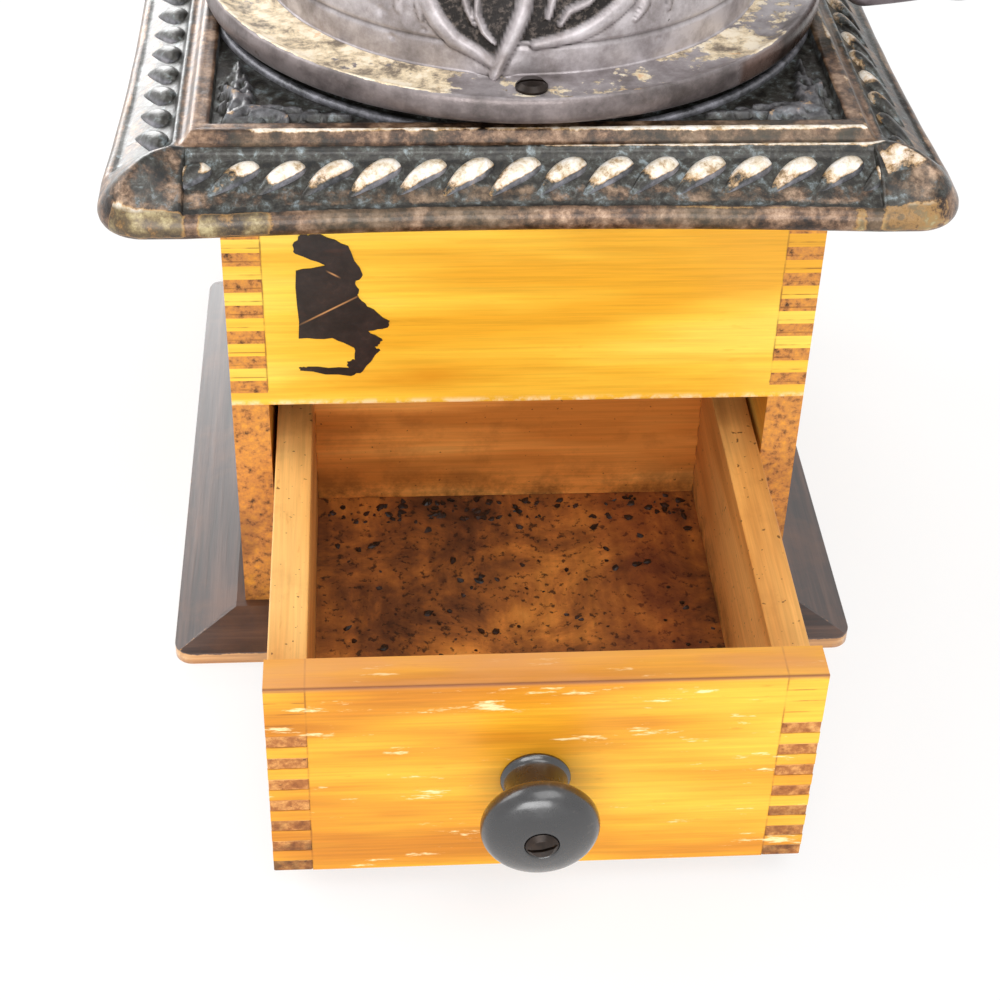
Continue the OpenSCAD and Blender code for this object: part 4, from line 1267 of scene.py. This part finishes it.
arm_iron = forged_iron("forged_arm_iron", ("#564D50", "#756B6E", "#948A8C"))
eye_r = 9.5
points, faces = joined((points, faces), disc((0, 0), eye_r, arm_high - 0.05, 227.05),
                       disc(arm_end, eye_r, arm_low, 167.4))
arm = piece("crank_arm_forged", points, faces, "crank", "arm_iron", arm_iron)
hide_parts("crank_arm")

# %% [markdown]
# ## Torn paper
#
# A printed paper once covered part of the front. Only a blackened scrap of
# it is left: nothing can be read on it, and nothing is drawn. Its outline is
# a torn shape; the sheet lies flat on the wood and is about 0.3 mm thick.

# %% Paper scrap
paper_edge = [
    (-57.5, 125), (-55.5, 128), (-53, 128), (-50.5, 128), (-44, 124.5), (-40.5, 116), (-42.5, 113.5),
    (-41.5, 111), (-42, 110), (-39.5, 106.5), (-34, 102), (-34.5, 100), (-39.5, 99), (-36, 96.5),
    (-36.5, 95), (-38, 94), (-36.5, 93), (-41, 86.5), (-44, 85), (-57, 87), (-57, 88), (-55, 88),
    (-44.5, 87.5), (-45, 89.5), (-43, 90), (-43, 94), (-48.5, 97), (-57, 97), (-57, 117.5),
    (-49.5, 119), (-57, 122.5),
]
folds = (((-55.9, 101.7), (-41.5, 109.9)), ((-49.2, 117.2), (-46.4, 115.5)))


def torn_paper():
    """Blackened varnished paper with a few worn brown fibres."""
    finish, spot = blank("blackened_torn_paper")
    creases = streaks_of(spot, 60, 190, 0, 5, 0.5, 1.2)
    tone = ramp(noise(spot, 260, 6, 0.7), (0.4, "#1C1716"), (0.6, "#2B2220"), (0.75, "#43302A"))
    colour = blend(remap(creases, 0.62, 0.72, 0, 0.6), tone, "#4A2C22")
    # Two folds, cracked open to the wood: each runs between two places on the sheet.
    x, _, z = axes_of(spot)
    for (ax, az), (bx, bz) in folds:
        height = swing(x, ax * MM, (bz - az) / (bx - ax))
        within = band(x, (ax + bx) / 2, (bx - ax) * 0.75)
        fold = times(near(minus(z, plus(height, az * MM)), 0, 0.45 * MM), within)
        colour = blend(fold, colour, "#C08A56")
    return shaded(finish, colour, 0.38, bumps(creases, 0.5, 0.2))


def ragged(corners, steps=4, size=0.22):
    """The outline with small tears between its corners."""
    line = []
    for i, (ax, az) in enumerate(corners):
        bx, bz = corners[(i + 1) % len(corners)]
        dx, dz = bx - ax, bz - az
        long = math.hypot(dx, dz)
        for s in range(steps):
            t, k = s / steps, i * steps + s
            wave = size * (math.sin(k * 2.4) + 0.6 * math.sin(k * 5.1 + 1)) * (0.3 if s == 0 else 1.0)
            line.append((ax + dx * t - dz / long * wave, az + dz * t + dx / long * wave))
    return line


outline = ragged(paper_edge)
count = len(outline)
box_front, paper_front = -75.0, -75.28
points = [(x, y, z) for y in (paper_front, box_front) for x, z in outline]
faces = [tuple(range(count)), tuple(reversed(range(count, 2 * count)))]
faces += [(c, count + c, count + (c + 1) % count, (c + 1) % count) for c in range(count)]
paper = piece("torn_paper_scrap", points, faces, "case", "torn_paper", torn_paper(), smooth=False)
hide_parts("label_remnant")

# %% [markdown]
# ## Coffee left in the drawer
#
# A few hundred bits of coffee lie on the drawer's floor, most of them along
# the back. Points are scattered on a patch of the floor with a fixed seed, and
# a small crushed grain is set on each, turned and scaled at random. The back
# strip is scattered more thickly than the rest.

# %% Coffee bits
def coffee_grain():
    """A crushed grain of coffee with twenty faces."""
    phi = (1 + 5 ** 0.5) / 2
    corners = [(-1, phi, 0), (1, phi, 0), (-1, -phi, 0), (1, -phi, 0), (0, -1, phi), (0, 1, phi),
               (0, -1, -phi),
               (0, 1, -phi), (phi, 0, -1), (phi, 0, 1), (-phi, 0, -1), (-phi, 0, 1)]
    sides = [(0, 11, 5), (0, 5, 1), (0, 1, 7), (0, 7, 10), (0, 10, 11), (1, 5, 9), (5, 11, 4),
             (11, 10, 2), (10, 7, 6), (7, 1, 8), (3, 9, 4), (3, 4, 2), (3, 2, 6), (3, 6, 8),
             (3, 8, 9), (4, 9, 5), (2, 4, 11), (6, 2, 10), (8, 6, 7), (9, 8, 1)]
    # The grain is longest along X and flattest along Z, with uneven corners; sizes in metres.
    squeezed = []
    for i, corner in enumerate(corners):
        s = 1 + 0.28 * math.sin(3.7 * i)
        squeezed.append([v * s * half for v, half in zip(corner, (0.00052, 0.00040, 0.00024))])
    return shaped("coffee_grain", squeezed, sides, smooth=False, linked=False)


def coffee_tree(grain, finish):
    """Scatters grains on two patches of the drawer's floor."""
    tree, given = group("coffee_scatter", {
        "Width": 106 * MM, "Depth": 112 * MM, "Strip": 10 * MM, "Middle Y": -100 * MM,
        "Back Y": -48 * MM,
        "Floor": 16 * MM, "Thin": 9000.0, "Thick": 90000.0,
    })
    source = add(tree, "GeometryNodeObjectInfo", {"Object": grain})
    strewn = add(tree, "GeometryNodeJoinGeometry")
    for deep, middle, density, seed in (("Depth", "Middle Y", "Thin", 3),
                                        ("Strip", "Back Y", "Thick", 8)):
        patch = add(tree, "GeometryNodeMeshGrid", {
            "Size X": given["Width"], "Size Y": given[deep], "Vertices X": 2, "Vertices Y": 2})
        moved = add(tree, "GeometryNodeTransform", {
            "Geometry": patch, "Translation": vector(0, given[middle], given["Floor"])})
        dots = add(tree, "GeometryNodeDistributePointsOnFaces", {
            "Mesh": moved, "Density": given[density], "Seed": seed})
        turn = add(tree, "FunctionNodeRandomValue", {
            "Min": (-0.5, -0.5, 0.0), "Max": (0.5, 0.5, 6.283), "Seed": seed + 1},
            data_type="FLOAT_VECTOR")
        size = add(tree, "FunctionNodeRandomValue", {2: 0.5, 3: 1.7, "Seed": seed + 2},
                   data_type="FLOAT")
        set_down = add(tree, "GeometryNodeInstanceOnPoints", {
            "Points": dots, "Instance": source.outputs["Geometry"], "Rotation": turn.outputs["Value"],
            "Scale": size.outputs[1],
        })
        tree.links.new(set_down.outputs[0], strewn.inputs[0])
    return hand_over(tree, strewn, finish)


coffee = forged_iron("roasted_coffee", ("#120A06", "#24140B", "#3E2413"), shine=(0.4, 0.7),
                     metallic=0.0)
grain_mesh = coffee_grain()
grown("coffee_bits", coffee_tree(grain_mesh, coffee), "drawer")
bpy.data.objects.remove(grain_mesh)

# %% [markdown]
# ## Screws, brass and the works
#
# The rest keeps its measured shape and only needs its finish: slotted screws
# gone brown, a brass bush, the nut and rivet of plain steel, iron burrs and
# bridge under the top, and a dark oiled handle.

# %% Finishes of the small parts
works = forged_iron("cast_works_iron", ("#3E3A37", "#57524E", "#76706A"), shine=(0.4, 0.62),
                    metallic=0.7)
steel = forged_iron("plain_steel", ("#7A7C7E", "#97999B", "#B9BBBD"), shine=(0.24, 0.42), metallic=1.0)
rust = forged_iron("browned_screw_steel", ("#1A1411", "#2E241E", "#4A3B32"), shine=(0.3, 0.5),
                   metallic=0.6)
bush = forged_iron("worn_bush_brass", ("#8A6A34", "#B08D4C", "#D9BC7C"), shine=(0.26, 0.44),
                   metallic=1.0)
handle = wood("oiled_dark_beech", 2, "#7A4A2C", "#5E361F", "#3E2213", "#4A2A18", gloss=0.3)
dress(rust, "hopper_screws", "drawer_knob_screw", bevel=0)
dress(bush, "upper_bush", "adjuster_wheel", bevel=0)
dress(arm_iron, "hopper_lid", bevel=0)
dress(works, "outer_burr", "inner_burr", "bridge", bevel=0)
dress(handle, "crank_grip", bevel=0)
dress(steel, "base_screws", "lid_ring", "lid_button", "burr_bolts", "adjuster_ring", "thrust_screw",
      "spindle",
      "crank_washer", "crank_nut", "grip_rivet", bevel=0)
print("small parts dressed")
